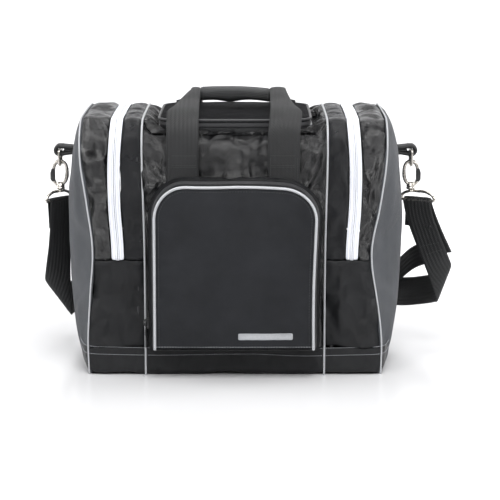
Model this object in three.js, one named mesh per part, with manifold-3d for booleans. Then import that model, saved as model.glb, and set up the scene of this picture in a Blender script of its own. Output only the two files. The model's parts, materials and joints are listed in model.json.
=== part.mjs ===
// Single-ball bowling tote: a rectangular fabric bag with a lid over the ball compartment, a zipped front
// pocket, a zipped shoe pocket at each end, two carry handles held in a wrap, and a clip-on shoulder strap.
// Millimetres. +X is the bag's right as seen from the front, the front faces -Y, +Z is up, and the origin is
// the middle of the bag's underside.
import * as THREE from "three";
import { mergeVertices } from "three/addons/utils/BufferGeometryUtils.js";
import Module from "manifold-3d";

const wasm = await Module();
wasm.setup();

// Driving dimensions
const HALF_DEPTH = 120; // bag's half depth, to the outside of the front panel
const HEIGHT = 300; // top of the two ends above the floor
const DECK = 291; // top of the centre, round the lid
const PANEL = 3; // padded fabric panel
const GAP = 0.4; // between pieces that touch
const EDGE_R = 14; // rounding where the front and back turn into the top
const SEAM_IN = 110; // piped seam between the centre and an end
const SEAM_OUT = 177; // piped seam between an end's front and its end panel
const BULGE = 27; // how far an end panel bellies out past its seam
const ZIP_X = 145; // middle of an end pocket's zipper
const ZIP_TAPE = 7.5; // one side of that zipper
const ZIP_END = 141; // height where that zipper stops
const BASE_BAND = 33; // height of the base fabric on the walls
const DIVIDER_X = 113; // inside face of the padded dividers
const BALL_R = 108; // regulation ball
const LID_X = 98; // lid's half width
const LID_Y = 104; // lid's half depth
const LID_R = 34; // its corner radius
const BAND = 11; // zipper band under the lid
const LID_PANEL = 4;
const POCKET_X = 101; // front pocket's half width
const POCKET_Z = [35, 236];
const POCKET_R = 42;
const POCKET_DEPTH = 34;
const POCKET_GUSSET = 15; // depth of the fixed part of its side wall
const WEB = 38; // handle and shoulder webbing
const WEB_T = 2.4;
const HANDLE_X = 61; // middle of each handle leg
const HANDLE_FREE = 265; // height where the handle leaves the panel
const GRIP_X = 41.5;
const HOOK_X = 217; // line of the D-ring, hook and strap loop
const HOOK_Y = 22;
const RING_Z = 253;
const LOOP_TURN = { left: 0.95, right: 0.56 }; // how far each strap loop is turned on its swivel
const LOOP_SHIFT = { left: 2.5, right: 9 }; // its middle outwards of the hook
const WIRE = 2;

const bag = new THREE.Group();

const COLOURS = {
  twill: [0x26282b, 0.85, 0],
  satin: [0x1c1c20, 0.45, 0],
  grey: [0x5c6068, 0.9, 0],
  white: [0xe9ecf2, 0.6, 0],
  silver: [0xb9bbbd, 0.5, 0],
  web: [0x2b2b2c, 0.8, 0],
  foam: [0x3c3d40, 0.95, 0],
  board: [0x141414, 0.6, 0],
  steel: [0xb4b2ac, 0.25, 1],
  black: [0x101010, 0.4, 0.3],
};
const materials = Object.fromEntries(
  Object.entries(COLOURS).map(([name, [color, roughness, metalness]]) => [
    name,
    new THREE.MeshStandardMaterial({ color, roughness, metalness }),
  ]),
);

function add(name, material, geometry) {
  const mesh = new THREE.Mesh(geometry, materials[material]);
  mesh.name = name;
  bag.add(mesh);
  return mesh;
}

// ---- Shapes

function box([x0, x1], [y0, y1], [z0, z1], segments = [1, 1, 1]) {
  const g = new THREE.BoxGeometry(x1 - x0, y1 - y0, z1 - z0, ...segments);
  return g.translate((x0 + x1) / 2, (y0 + y1) / 2, (z0 + z1) / 2);
}

// An outline drawn as (Y, Z) and extruded from x0 to x1
function alongX(shape, x0, x1) {
  const g = new THREE.ExtrudeGeometry(shape, { depth: x1 - x0, bevelEnabled: false, curveSegments: 5 });
  const turn = new THREE.Matrix4().makeBasis(
    new THREE.Vector3(0, 1, 0),
    new THREE.Vector3(0, 0, 1),
    new THREE.Vector3(1, 0, 0),
  );
  return g.applyMatrix4(turn).translate(x0, 0, 0);
}

// An outline drawn as (X, Z) and extruded forwards from y0 to y1, with y1 below y0
function forwards(shape, y0, y1) {
  const g = new THREE.ExtrudeGeometry(shape, { depth: y0 - y1, bevelEnabled: false, curveSegments: 6 });
  return g.rotateX(Math.PI / 2).translate(0, y0, 0);
}

function upwards(shape, z0, z1) {
  const g = new THREE.ExtrudeGeometry(shape, { depth: z1 - z0, bevelEnabled: false, curveSegments: 6 });
  return g.translate(0, 0, z0);
}

function roundedRect(x0, x1, y0, y1, lowR, highR) {
  const s = new THREE.Shape();
  s.moveTo(x0 + lowR, y0);
  s.lineTo(x1 - lowR, y0);
  if (lowR) s.absarc(x1 - lowR, y0 + lowR, lowR, -Math.PI / 2, 0);
  s.lineTo(x1, y1 - highR);
  if (highR) s.absarc(x1 - highR, y1 - highR, highR, 0, Math.PI / 2);
  s.lineTo(x0 + highR, y1);
  if (highR) s.absarc(x0 + highR, y1 - highR, highR, Math.PI / 2, Math.PI);
  s.lineTo(x0, y0 + lowR);
  if (lowR) s.absarc(x0 + lowR, y0 + lowR, lowR, Math.PI, 1.5 * Math.PI);
  return s;
}

// The (Y, Z) section of a strip that goes up the front, over the top and down the back
function overTheTop(bottom, thickness = PANEL, outside = 0, height = HEIGHT) {
  const y = HALF_DEPTH + outside;
  const top = height + outside;
  const r = EDGE_R + outside;
  const inner = r - thickness;
  const s = new THREE.Shape();
  s.moveTo(-y, bottom);
  s.lineTo(-y + thickness, bottom);
  s.lineTo(-y + thickness, top - r);
  s.absarc(-y + r, top - r, inner, Math.PI, Math.PI / 2, true);
  s.lineTo(y - r, top - thickness);
  s.absarc(y - r, top - r, inner, Math.PI / 2, 0, true);
  s.lineTo(y - thickness, bottom);
  s.lineTo(y, bottom);
  s.lineTo(y, top - r);
  s.absarc(y - r, top - r, r, 0, Math.PI / 2);
  s.lineTo(-y + r, top);
  s.absarc(-y + r, top - r, r, Math.PI / 2, Math.PI);
  return s;
}

// A closed solid through rings of points that all have the same count
function loft(rings) {
  const n = rings[0].length;
  const position = rings.flat().flatMap((p) => p);
  const index = [];
  for (let i = 0; i + 1 < rings.length; i++)
    for (let k = 0; k < n; k++) {
      const a = i * n + k;
      const b = i * n + ((k + 1) % n);
      index.push(a, b, a + n, b, b + n, a + n);
    }
  const last = (rings.length - 1) * n;
  for (let k = 1; k + 1 < n; k++) {
    index.push(0, k + 1, k);
    index.push(last, last + k, last + k + 1);
  }
  const g = new THREE.BufferGeometry();
  g.setAttribute("position", new THREE.Float32BufferAttribute(position, 3));
  g.setIndex(index);
  return g;
}

// ---- Solids that need a join or a cut

function solid(geometry) {
  const g = geometry.clone();
  g.deleteAttribute("normal");
  g.deleteAttribute("uv");
  const m = mergeVertices(g, 1e-3);
  return new wasm.Manifold(
    new wasm.Mesh({
      numProp: 3,
      vertProperties: new Float32Array(m.attributes.position.array),
      triVerts: new Uint32Array(m.index.array),
    }),
  );
}

function geometryOf(manifold) {
  const m = manifold.getMesh();
  const g = new THREE.BufferGeometry();
  g.setAttribute("position", new THREE.BufferAttribute(m.vertProperties, 3));
  g.setIndex(new THREE.BufferAttribute(m.triVerts, 1));
  return g;
}

const join = (...parts) => geometryOf(parts.map(solid).reduce((a, b) => a.add(b)));
const cut = (from, ...tools) => geometryOf(tools.map(solid).reduce((a, b) => a.subtract(b), solid(from)));

// A wire or rod along straight stretches and curves
function rod(points, radius, steps = 20) {
  const path = new THREE.CatmullRomCurve3(points.map((p) => new THREE.Vector3(...p)), false, "centripetal");
  const section = new THREE.Shape().absarc(0, 0, radius, 0, 2 * Math.PI);
  return new THREE.ExtrudeGeometry(section, { steps, curveSegments: 8, bevelEnabled: false, extrudePath: path });
}

function closedWire(points, radius, steps = 32) {
  const path = new THREE.CatmullRomCurve3(points.map((p) => new THREE.Vector3(...p)), true, "centripetal");
  return new THREE.TubeGeometry(path, steps, radius, 8, true);
}

// ---- Base and centre of the bag

function makeBase() {
  const outside = box([-SEAM_OUT, SEAM_OUT], [-HALF_DEPTH, HALF_DEPTH], [0, BASE_BAND]);
  const inside = box(
    [-SEAM_OUT + PANEL, SEAM_OUT - PANEL],
    [-HALF_DEPTH + PANEL, HALF_DEPTH - PANEL],
    [PANEL, BASE_BAND + 5],
  );
  add("base_tray", "twill", cut(outside, inside));
  const edge = PANEL + GAP;
  add(
    "base_board",
    "board",
    box(
      [-SEAM_OUT + edge, SEAM_OUT - edge],
      [-HALF_DEPTH + edge, HALF_DEPTH - edge],
      [edge, edge + PANEL],
    ),
  );
}

// A foam ring: a straight bore below, and above it a seat that follows the ball
function makeBallCup() {
  const bottom = 2 * (PANEL + GAP);
  const top = 46;
  const rim = 80;
  const bore = 62;
  const ballZ = top + Math.sqrt(BALL_R ** 2 - rim ** 2);
  const profile = [new THREE.Vector2(bore, bottom)];
  const outer = 98;
  profile.push(new THREE.Vector2(outer, bottom), new THREE.Vector2(outer, top), new THREE.Vector2(rim, top));
  for (const r of [75, 69, bore])
    profile.push(new THREE.Vector2(r, ballZ - Math.sqrt(BALL_R ** 2 - r ** 2)));
  profile.push(new THREE.Vector2(bore, bottom));
  add("ball_cup", "foam", new THREE.LatheGeometry(profile, 32).rotateX(Math.PI / 2));
}

function makeCentre() {
  const x = SEAM_IN - GAP;
  const [low, high] = [BASE_BAND + GAP, DECK - EDGE_R - GAP];
  for (const [name, side] of [["front_panel", -1], ["back_panel", 1]]) {
    const y = [side * HALF_DEPTH, side * (HALF_DEPTH - PANEL)].sort((a, b) => a - b);
    add(name, "satin", box([-x, x], y, [low, high]));
  }
  const deck = alongX(overTheTop(DECK - EDGE_R, PANEL, 0, DECK), -x, x);
  const hole = upwards(roundedRect(-LID_X, LID_X, -LID_Y, LID_Y, LID_R, LID_R), DECK - 40, DECK + 5);
  add("deck_frame", "satin", cut(deck, hole));
  for (const [name, side] of [["left_divider", -1], ["right_divider", 1]]) {
    const xs = [side * DIVIDER_X, side * (DIVIDER_X + PANEL)].sort((a, b) => a - b);
    const y = HALF_DEPTH - PANEL - GAP;
    add(name, "foam", box(xs, [-y, y], [2 * (PANEL + GAP), DECK - EDGE_R]));
  }
}

// ---- Lid over the ball compartment

function lidRing(inset, z0, z1) {
  const outline = roundedRect(-LID_X, LID_X, -LID_Y, LID_Y, LID_R, LID_R);
  const r = LID_R - inset;
  outline.holes.push(roundedRect(-LID_X + inset, LID_X - inset, -LID_Y + inset, LID_Y - inset, r, r));
  return upwards(outline, z0, z1);
}

function makeLid() {
  const half = BAND / 2;
  add("lid_zip_band", "twill", lidRing(2.5, DECK + GAP, DECK + half));
  add("lid_rim", "twill", lidRing(2.5, DECK + half + GAP, DECK + BAND));
  const low = DECK + BAND + GAP;
  const outline = roundedRect(-LID_X, LID_X, -LID_Y, LID_Y, LID_R, LID_R);
  add("lid_panel", "twill", upwards(outline, low, low + LID_PANEL));
}

// ---- Ends of the bag: shoe pockets

// How far the end panel stands out of its seam at a height and a depth
function belly(y, z) {
  const across = Math.cos((Math.PI * y) / (2 * HALF_DEPTH + 12));
  return BULGE * across ** 0.8 * Math.max(0, Math.sin((Math.PI * (z + 2)) / (HEIGHT + 14))) ** 0.8;
}

function endPanel(side, z0, z1) {
  const x0 = SEAM_OUT + GAP;
  const g = box([x0, x0 + PANEL], [-HALF_DEPTH, HALF_DEPTH], [z0, z1], [1, 12, 8]);
  const p = g.attributes.position;
  for (let i = 0; i < p.count; i++) {
    const z = p.getZ(i);
    const above = Math.max(0, z - (HEIGHT - EDGE_R));
    const width = HALF_DEPTH - EDGE_R + Math.sqrt(EDGE_R ** 2 - above ** 2);
    const y = (p.getY(i) * width) / HALF_DEPTH;
    p.setXYZ(i, p.getX(i) + belly(y, z), y, z);
  }
  if (side > 0) return g;
  return g.rotateZ(Math.PI);
}

// X limits on the bag's left or right, given as distances from its middle
function span(side, near, far) {
  return side > 0 ? [near, far] : [-far, -near];
}

function makeEnd(name, side) {
  const [low, high] = [BASE_BAND + GAP, ZIP_END - GAP];
  const x = span(side, SEAM_IN + GAP, SEAM_OUT);
  add(name + "_front_lower", "twill", box(x, [-HALF_DEPTH, -HALF_DEPTH + PANEL], [low, high]));
  add(name + "_back_lower", "twill", box(x, [HALF_DEPTH - PANEL, HALF_DEPTH], [low, high]));
  add(name + "_end_lower", "grey", endPanel(side, 0, high));
  const strip = overTheTop(ZIP_END);
  add(name + "_inner_gusset", "twill", alongX(strip, ...span(side, SEAM_IN + GAP, ZIP_X - ZIP_TAPE - GAP)));
  const tape = overTheTop(ZIP_END + GAP, 1.5, -0.5);
  add(name + "_zip_inner_tape", "white", alongX(tape, ...span(side, ZIP_X - ZIP_TAPE, ZIP_X - GAP)));
  add(name + "_zip_outer_tape", "white", alongX(tape, ...span(side, ZIP_X, ZIP_X + ZIP_TAPE)));
  add(name + "_outer_gusset", "satin", alongX(strip, ...span(side, ZIP_X + ZIP_TAPE + GAP, SEAM_OUT)));
  add(name + "_end_panel", "grey", endPanel(side, ZIP_END + GAP, HEIGHT));
  const pipe = overTheTop(0, 3.2, 3.6);
  add(name + "_inner_piping", "silver", alongX(pipe, ...span(side, SEAM_IN - 1.6, SEAM_IN + 1.6)));
}

// ---- Front pocket: a tray that folds down on its lower edge

function arch(inset) {
  return roundedRect(
    -POCKET_X + inset,
    POCKET_X - inset,
    POCKET_Z[0] + inset,
    POCKET_Z[1] - inset,
    0,
    POCKET_R - inset,
  );
}

// The stretch between the piping's two feet, where it has none
function lowerRail(front) {
  return box([-POCKET_X + 2.5, POCKET_X - 2.5], [front - 9, front], [0, POCKET_Z[0] + 9]);
}

function makePocket() {
  const wall = 2.5;
  const back = -HALF_DEPTH - WEB_T - 1.2;
  const split = -HALF_DEPTH - POCKET_GUSSET;
  const front = -HALF_DEPTH - POCKET_DEPTH;
  const ring = arch(0);
  ring.holes.push(arch(wall));
  add("pocket_gusset", "twill", forwards(ring, back, split));
  const shell = forwards(arch(0), split - GAP, front);
  const inside = forwards(arch(wall), split + 5, front + PANEL);
  add("pocket_flap", "twill", cut(shell, inside));
  const edge = arch(-1.2);
  edge.holes.push(arch(2.2));
  const below = box([-POCKET_X - 5, POCKET_X + 5], [front - 9, front], [0, POCKET_Z[0] + 1]);
  add("pocket_piping", "silver", cut(forwards(edge, front - GAP, front - GAP - 3), below, lowerRail(front)));
}

// ---- Handles

// Middle line of the front handle's webbing, as (y, z), from the panel to the grip
const HANDLE_LINE = [
  [-121.9, HANDLE_FREE + GAP],
  [-122.2, 291],
  [-118, 301.5],
  [-108, 308.5],
  [-84, 313],
  [-50, 316.5],
  [-17, 319.5],
  [17, 319.5],
];

function handleLeg(lift) {
  const rings = HANDLE_LINE.map(([y, z], i) => {
    const a = HANDLE_LINE[Math.max(0, i - 1)];
    const b = HANDLE_LINE[Math.min(HANDLE_LINE.length - 1, i + 1)];
    const t = new THREE.Vector2(b[0] - a[0], b[1] - a[1]).normalize();
    const [ny, nz] = [(t.y * WEB_T) / 2, (-t.x * WEB_T) / 2];
    const mitre = y > -50 ? (26 * (y + 50)) / 67 : 0;
    const [near, far] = [HANDLE_X - WEB / 2, HANDLE_X + WEB / 2 - mitre];
    const up = y > -120 ? lift * Math.min(1, (y + 120) / 70) : 0;
    return [
      [near, y - ny, z - nz + up],
      [far, y - ny, z - nz + up],
      [far, y + ny, z + nz + up],
      [near, y + ny, z + nz + up],
    ];
  });
  return loft(rings);
}

function makeHandle(name, turned, lift) {
  const leg = handleLeg(lift);
  const other = leg.clone().scale(-1, 1, 1);
  const flip = other.index.array;
  for (let i = 0; i < flip.length; i += 3) [flip[i + 1], flip[i + 2]] = [flip[i + 2], flip[i + 1]];
  const z = 319.5 + lift;
  const bar = box([-43.5, 43.5], [-17, 17], [z - WEB_T / 2, z + WEB_T / 2]);
  const whole = join(leg, other, bar);
  add(name, "web", turned ? whole.rotateZ(Math.PI) : whole);
  for (const [side, at] of [["left", -HANDLE_X], ["right", HANDLE_X]]) {
    const y = turned ? [HALF_DEPTH + GAP, HALF_DEPTH + GAP + WEB_T] : [-HALF_DEPTH - GAP - WEB_T, -HALF_DEPTH - GAP];
    const x = [at - WEB / 2, at + WEB / 2];
    add(`${name}_${side}_anchor`, "web", box(x, y, [BASE_BAND + GAP, HANDLE_FREE]));
  }
}

function makeGripWrap() {
  const outline = roundedRect(-23, 23, 315.3, 331.6, 7, 7);
  outline.holes.push(roundedRect(-20, 20, 317.8, 329, 4, 4));
  add("grip_wrap", "web", alongX(outline, -GRIP_X, GRIP_X));
}

// ---- Shoulder strap and its clips

function ribbon(stations, steps = 26) {
  const curve = (column) => new THREE.CatmullRomCurve3(stations.map((s) => new THREE.Vector3(...s[column])));
  const [middle, across] = [curve(0), curve(1)];
  const rings = [];
  for (let i = 0; i <= steps; i++) {
    const c = middle.getPoint(i / steps);
    const along = middle.getTangent(i / steps);
    const wide = across.getPoint(i / steps);
    wide.addScaledVector(along, -wide.dot(along)).normalize();
    const thick = new THREE.Vector3().crossVectors(along, wide).normalize();
    const corner = (w, t) =>
      c.clone().addScaledVector(wide, (w * WEB) / 2).addScaledVector(thick, (t * WEB_T) / 2).toArray();
    rings.push([corner(-1, -1), corner(1, -1), corner(1, 1), corner(-1, 1)]);
  }
  return loft(rings);
}

// Middle line and width direction, from the strap loop at an end of the bag to behind its middle
const LEFT_STRAP = [
  [[-219.5, 22, 185], [0.58, 0.81, 0]],
  [[-221, 23, 164], [0.6, 0.75, 0]],
  [[-226, 32, 132], [0.75, 0.6, 0.1]],
  [[-228, 56, 104], [0.8, 0.3, 0.6]],
  [[-218, 92, 84], [0.4, 0.1, 1]],
  [[-193, 128, 68], [0.15, -0.1, 1]],
  [[-135, 148, 56], [0, -0.2, 1]],
  [[-70, 152, 44], [0, -0.25, 1]],
  [[-2, 154, 40], [0, -0.25, 1]],
];
const RIGHT_STRAP = [
  [[226, 22, 184.5], [0.85, -0.53, 0]],
  [[228, 23, 167], [0.95, -0.4, 0]],
  [[244, 36, 134], [1, -0.1, -0.2]],
  [[254, 60, 106], [0.8, -0.1, -0.6]],
  [[242, 92, 84], [0.4, 0, -1]],
  [[206, 126, 70], [0, 0.15, -1]],
  [[150, 146, 57], [0, 0.2, -1]],
  [[75, 152, 45], [0, 0.25, -1]],
  [[2, 154, 40], [0, 0.25, -1]],
];

function makeStrap() {
  add("strap_left", "web", ribbon(LEFT_STRAP));
  add("strap_right", "web", ribbon(RIGHT_STRAP));
  const frame = roundedRect(-12, 12, -23, 23, 3, 3);
  frame.holes.push(roundedRect(-9, 9, -20, 20, 2, 2));
  const bars = new THREE.ExtrudeGeometry(frame, { depth: 3, bevelEnabled: false, curveSegments: 3 });
  const middle = box([-2, 2], [-21, 21], [0, 3]);
  const adjuster = join(bars, middle).rotateX(Math.PI / 2 + 0.24).translate(112, 158.5, 51);
  add("strap_adjuster", "black", adjuster);
}

function makeClip(name, side) {
  const x = side * HOOK_X;
  // Webbing tab folded round the ring's bar and sewn to the end panel
  const tab = new THREE.Shape();
  tab.moveTo(-17, -6);
  tab.lineTo(0, -6.2);
  tab.absarc(0, 0, 6.2, -Math.PI / 2, Math.PI / 2);
  tab.lineTo(-17, 6.6);
  tab.holes.push(new THREE.Path().absarc(0, 0, WIRE + 0.7, 0, 2 * Math.PI));
  const length = 25;
  const plain = new THREE.ExtrudeGeometry(tab, { depth: length, bevelEnabled: false, curveSegments: 6 });
  plain.rotateX(Math.PI / 2).translate(0, length / 2, 0);
  const placed = side > 0 ? plain : plain.rotateZ(Math.PI);
  const start = endPanelFace(HOOK_Y, RING_Z) + GAP;
  const block = placed.translate(x, HOOK_Y, RING_Z);
  const keep = box(span(side, start, HOOK_X + 20), [HOOK_Y - 30, HOOK_Y + 30], [RING_Z - 20, RING_Z + 20]);
  const wholeTab = geometryOf(solid(block).intersect(solid(keep)));
  add(name + "_tab", "web", wholeTab);

  const ring = [
    [-14, 0], [-7, 0], [0, 0], [7, 0], [14, 0], [16, -3], [15, -10], [9.5, -17], [0, -20], [-9.5, -17], [-15, -10],
    [-16, -3],
  ].map(([y, z]) => [x, HOOK_Y + y, RING_Z + z]);
  add(name + "_dring", "steel", closedWire(ring, WIRE, 40));

  // Snap hook: hooked nose at the top, barrel below, and a gate that closes the nose
  const top = RING_Z - 20 + 2 * WIRE + 1.7;
  const at = ([dx, dz]) => [x + side * dx, HOOK_Y, top + dz];
  const nose = [[0, -29], [-5, -26], [-8, -20], [-8, -8], [-5.5, -2.4], [0, 0], [5.5, -2.4], [8, -8], [8, -10.5]];
  const foot = new THREE.CylinderGeometry(4.6, 5.2, 7, 16).rotateX(Math.PI / 2).translate(x, HOOK_Y, top - 31.5);
  const heel = rod([[2, -29], [6.5, -27.5], [8, -24.6]].map(at), 2, 6);
  add(name + "_hook", "steel", join(rod(nose.map(at), 2.2, 28), foot, heel));
  const gate = rod([[8, -22.3], [8.1, -17], [8, -11.6]].map(at), 1.7, 6);
  const thumb = box(span(side, HOOK_X + 7, HOOK_X + 12.5), [HOOK_Y - 2, HOOK_Y + 2], [top - 21, top - 14]);
  add(name + "_gate", "black", join(gate, thumb));

  // Loop that the webbing goes through, with the stud that the barrel turns on
  const loopTop = top - 37.7;
  const low = loopTop - 11;
  const half = 21;
  const wire = [
    [-half, low], [-12, low], [0, low], [12, low], [half, low], [half + 1.5, low + 4], [half - 4, loopTop - 3],
    [9, loopTop], [0, loopTop], [-9, loopTop], [-half + 4, loopTop - 3], [-half - 1.5, low + 4],
  ].map(([along, z]) => [
    x + side * (LOOP_SHIFT[name] + along * Math.cos(LOOP_TURN[name])),
    HOOK_Y - along * Math.sin(LOOP_TURN[name]),
    z,
  ]);
  const stud = new THREE.CylinderGeometry(3.4, 3.4, 3, 12).rotateX(Math.PI / 2).translate(x, HOOK_Y, loopTop + 0.8);
  add(name + "_strap_loop", "steel", join(closedWire(wire, 1.9, 48), stud));
}

function endPanelFace(y, z) {
  return SEAM_OUT + GAP + PANEL + belly(y, z);
}

// ---- Zipper sliders and their pulls, drawn with the tape behind them and the pull hanging down

function slider() {
  const body = new THREE.ExtrudeGeometry(roundedRect(-4.2, 4.2, -6, 6, 2, 3), {
    depth: 2.6,
    bevelEnabled: false,
    curveSegments: 4,
  });
  const bridge = box([-1.2, 1.2], [-3.7, 4.5], [2, 6.2]);
  const slot = box([-2, 2], [-1.9, 3.1], [2.6, 5]);
  return cut(join(body, bridge), slot);
}

function pull() {
  const plate = roundedRect(-3.2, 3.2, -21, 2.3, 3, 1);
  const body = new THREE.ExtrudeGeometry(plate, { depth: 1.2, bevelEnabled: false, curveSegments: 4 });
  const eye = box([-1.7, 1.7], [-4.5, 0.7], [-1, 3]);
  return cut(body, eye).translate(0, 0, 3.15);
}

const SLIDERS = [
  { name: "pocket", at: [-POCKET_X - 0.5, -HALF_DEPTH - POCKET_GUSSET, 66], out: [-1, 0, 0], up: [0, 0, 1] },
  { name: "lid", at: [LID_X + 5.3, 62, DECK + GAP], out: [0, 0, 1], up: [0, -1, 0] },
  { name: "left_end", at: [-ZIP_X, HALF_DEPTH + 0.3, 152], out: [0, 1, 0], up: [0, 0, 1] },
  { name: "right_end", at: [ZIP_X, HALF_DEPTH + 0.3, 152], out: [0, 1, 0], up: [0, 0, 1] },
];

function makeSliders() {
  for (const { name, at, out, up } of SLIDERS) {
    const y = new THREE.Vector3(...up);
    const z = new THREE.Vector3(...out);
    const place = new THREE.Matrix4().makeBasis(y.clone().cross(z), y, z).setPosition(...at);
    add(name + "_slider", "black", slider().applyMatrix4(place));
    add(name + "_pull", "black", pull().applyMatrix4(place));
  }
}

makeBase();
makeBallCup();
makeCentre();
makeLid();
makeEnd("left", -1);
makeEnd("right", 1);
makePocket();
makeHandle("front_handle", false, 0);
makeHandle("rear_handle", true, 5);
makeGripWrap();
makeStrap();
makeClip("left", -1);
makeClip("right", 1);
makeSliders();

export default bag;
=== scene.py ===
import bmesh
import bpy
import json
import math
import numpy as np
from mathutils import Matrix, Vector, noise


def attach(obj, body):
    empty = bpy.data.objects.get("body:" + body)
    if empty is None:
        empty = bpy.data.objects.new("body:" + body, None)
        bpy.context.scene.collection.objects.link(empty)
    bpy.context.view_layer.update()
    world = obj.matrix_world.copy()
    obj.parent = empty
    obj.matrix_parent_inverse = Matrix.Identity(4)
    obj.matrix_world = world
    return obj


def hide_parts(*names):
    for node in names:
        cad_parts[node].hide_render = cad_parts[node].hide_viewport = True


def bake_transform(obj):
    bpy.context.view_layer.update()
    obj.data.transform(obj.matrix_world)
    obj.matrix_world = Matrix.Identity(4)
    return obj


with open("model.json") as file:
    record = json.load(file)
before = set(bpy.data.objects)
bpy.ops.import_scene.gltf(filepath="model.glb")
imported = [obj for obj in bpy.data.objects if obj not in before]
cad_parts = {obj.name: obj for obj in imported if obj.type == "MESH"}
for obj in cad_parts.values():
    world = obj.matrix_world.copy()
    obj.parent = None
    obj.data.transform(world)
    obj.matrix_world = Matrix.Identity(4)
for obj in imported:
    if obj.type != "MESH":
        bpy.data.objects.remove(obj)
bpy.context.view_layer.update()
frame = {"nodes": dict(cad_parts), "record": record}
MM = 0.001
WEB = 38.0  # webbing width
HANDLE_IN, HANDLE_OUT = 42.0, 80.0

# ---------------------------------------------------------------- camera, light, floor

SENSOR = 36.0
FOCUS = 4.2 * SENSOR  # a long lens, both in mm
TILT = math.radians(9.6)


def make_world():
    """Pale at the horizon, darker overhead, so that black cloth keeps its depth."""
    world = bpy.data.worlds.new("studio")
    world.use_nodes = True
    tree = world.node_tree
    place = node(tree, "ShaderNodeTexCoord").outputs["Generated"]
    height = node(tree, "ShaderNodeSeparateXYZ", {0: place}).outputs["Z"]
    level = node(
        tree,
        "ShaderNodeMapRange",
        {"Value": height, "From Min": 0.10, "From Max": 0.42, "To Min": 0.5, "To Max": 0.08},
        interpolation_type="SMOOTHSTEP",
    ).outputs["Result"]
    background = tree.nodes["Background"]
    background.inputs["Color"].default_value = (1, 1, 1, 1)
    tree.links.new(level, background.inputs["Strength"])
    bpy.context.scene.world = world


def make_stage():
    camera = bpy.data.objects.new("camera", bpy.data.cameras.new("camera"))
    bpy.context.collection.objects.link(camera)
    camera.location = (0.0179, -2.560, 0.5636)
    camera.rotation_euler = (math.pi / 2 - TILT, 0, 0)
    camera.data.lens = FOCUS
    camera.data.sensor_width = SENSOR
    camera.data.clip_end = 50
    bpy.context.scene.camera = camera
    for name, at, aim, size, power in (
        ("key", (-1.1, -1.6, 1.6), (0, 0, 0.2), 0.75, 19),
        ("fill", (1.6, -1.7, 1.2), (0, 0, 0.15), 0.6, 13),
        ("high_front", (0.2, -1.25, 2.0), (0, 0, 0.2), 0.95, 30),
        ("strip", (0.45, -2.3, 1.45), (0, 0, 0.25), 0.55, 9),
        ("top", (0.1, 0.3, 2.2), (0, 0, 0.2), 1.2, 20),
        ("left_rim", (-1.7, 0.2, 0.9), (0, 0, 0.15), 0.9, 15),
        ("right_rim", (1.7, 0.3, 1.0), (0, 0, 0.15), 0.9, 15),
        ("backdrop", (0, 1.2, 1.9), (0, 3.6, 0.6), 2.4, 90),
    ):
        lamp = bpy.data.lights.new(name, "AREA")
        lamp.size = size
        lamp.energy = power
        o = bpy.data.objects.new(name, lamp)
        o.location = at
        o.rotation_euler = (Vector(aim) - Vector(at)).to_track_quat("-Z", "Y").to_euler()
        bpy.context.collection.objects.link(o)
    make_world()
    bpy.context.scene.view_settings.view_transform = "Standard"
    floor = bpy.data.meshes.new("floor")
    steps = 24
    side, back, rise = 9.0, 2.2, 1.6
    rows = [(-side, 0.0), (back, 0.0)]
    rows += [
        (back + rise * math.sin(math.pi / 2 * k / steps), rise * (1 - math.cos(math.pi / 2 * k / steps)))
        for k in range(1, steps + 1)
    ]
    rows.append((back + rise, 5.0))
    verts = [(x, y, z) for y, z in rows for x in (-side, side)]
    faces = [(2 * i, 2 * i + 1, 2 * i + 3, 2 * i + 2) for i in range(len(rows) - 1)]
    floor.from_pydata(verts, [], faces)
    floor.polygons.foreach_set("use_smooth", [True] * len(faces))
    o = bpy.data.objects.new("floor", floor)
    bpy.context.collection.objects.link(o)
    floor.materials.append(plain("floor_white", (0.76, 0.76, 0.77), 0.22))


# ---------------------------------------------------------------- materials


def new_material(name, colour, rough, metallic=0.0, sheen=0.0, coat=0.0):
    m = bpy.data.materials.new(name)
    m.use_nodes = True
    shader = m.node_tree.nodes["Principled BSDF"]
    shader.inputs["Base Color"].default_value = (*colour, 1)
    shader.inputs["Roughness"].default_value = rough
    shader.inputs["Metallic"].default_value = metallic
    shader.inputs["Sheen Weight"].default_value = sheen
    shader.inputs["Sheen Roughness"].default_value = 0.45
    shader.inputs["Coat Weight"].default_value = coat
    return m, m.node_tree, shader


def plain(name, colour, rough, **more):
    return new_material(name, colour, rough, **more)[0]


def node(tree, kind, inputs=None, **settings):
    n = tree.nodes.new(kind)
    for key, value in settings.items():
        setattr(n, key, value)
    for key, value in (inputs or {}).items():
        if isinstance(value, bpy.types.NodeSocket):
            tree.links.new(value, n.inputs[key])
        else:
            n.inputs[key].default_value = value
    return n


def math_node(tree, operation, *values):
    return node(tree, "ShaderNodeMath", dict(enumerate(values)), operation=operation).outputs[0]


def weighted(tree, *parts):
    """The sum of some values, each given as (value, weight)."""
    total = 0.0
    for value, weight in parts:
        total = math_node(tree, "MULTIPLY_ADD", value, weight, total)
    return total


def flat_coordinates(tree):
    """The cloth's own coordinates, in mm along it and across it."""
    return node(tree, "ShaderNodeUVMap", uv_map="cloth").outputs["UV"]


def wave(tree, vector, direction, period, distortion=0.0):
    """Bands across a direction, their period in mm."""
    return node(
        tree,
        "ShaderNodeTexWave",
        {"Vector": vector, "Scale": math.pi / 10 / period, "Distortion": distortion, "Detail": 1.0},
        bands_direction=direction,
    ).outputs["Fac"]


def grain(tree, scale, detail=3.0, roughness=0.55):
    place = node(tree, "ShaderNodeTexCoord").outputs["Object"]
    return node(
        tree,
        "ShaderNodeTexNoise",
        {"Vector": place, "Scale": scale, "Detail": detail, "Roughness": roughness},
    ).outputs["Fac"]


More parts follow.
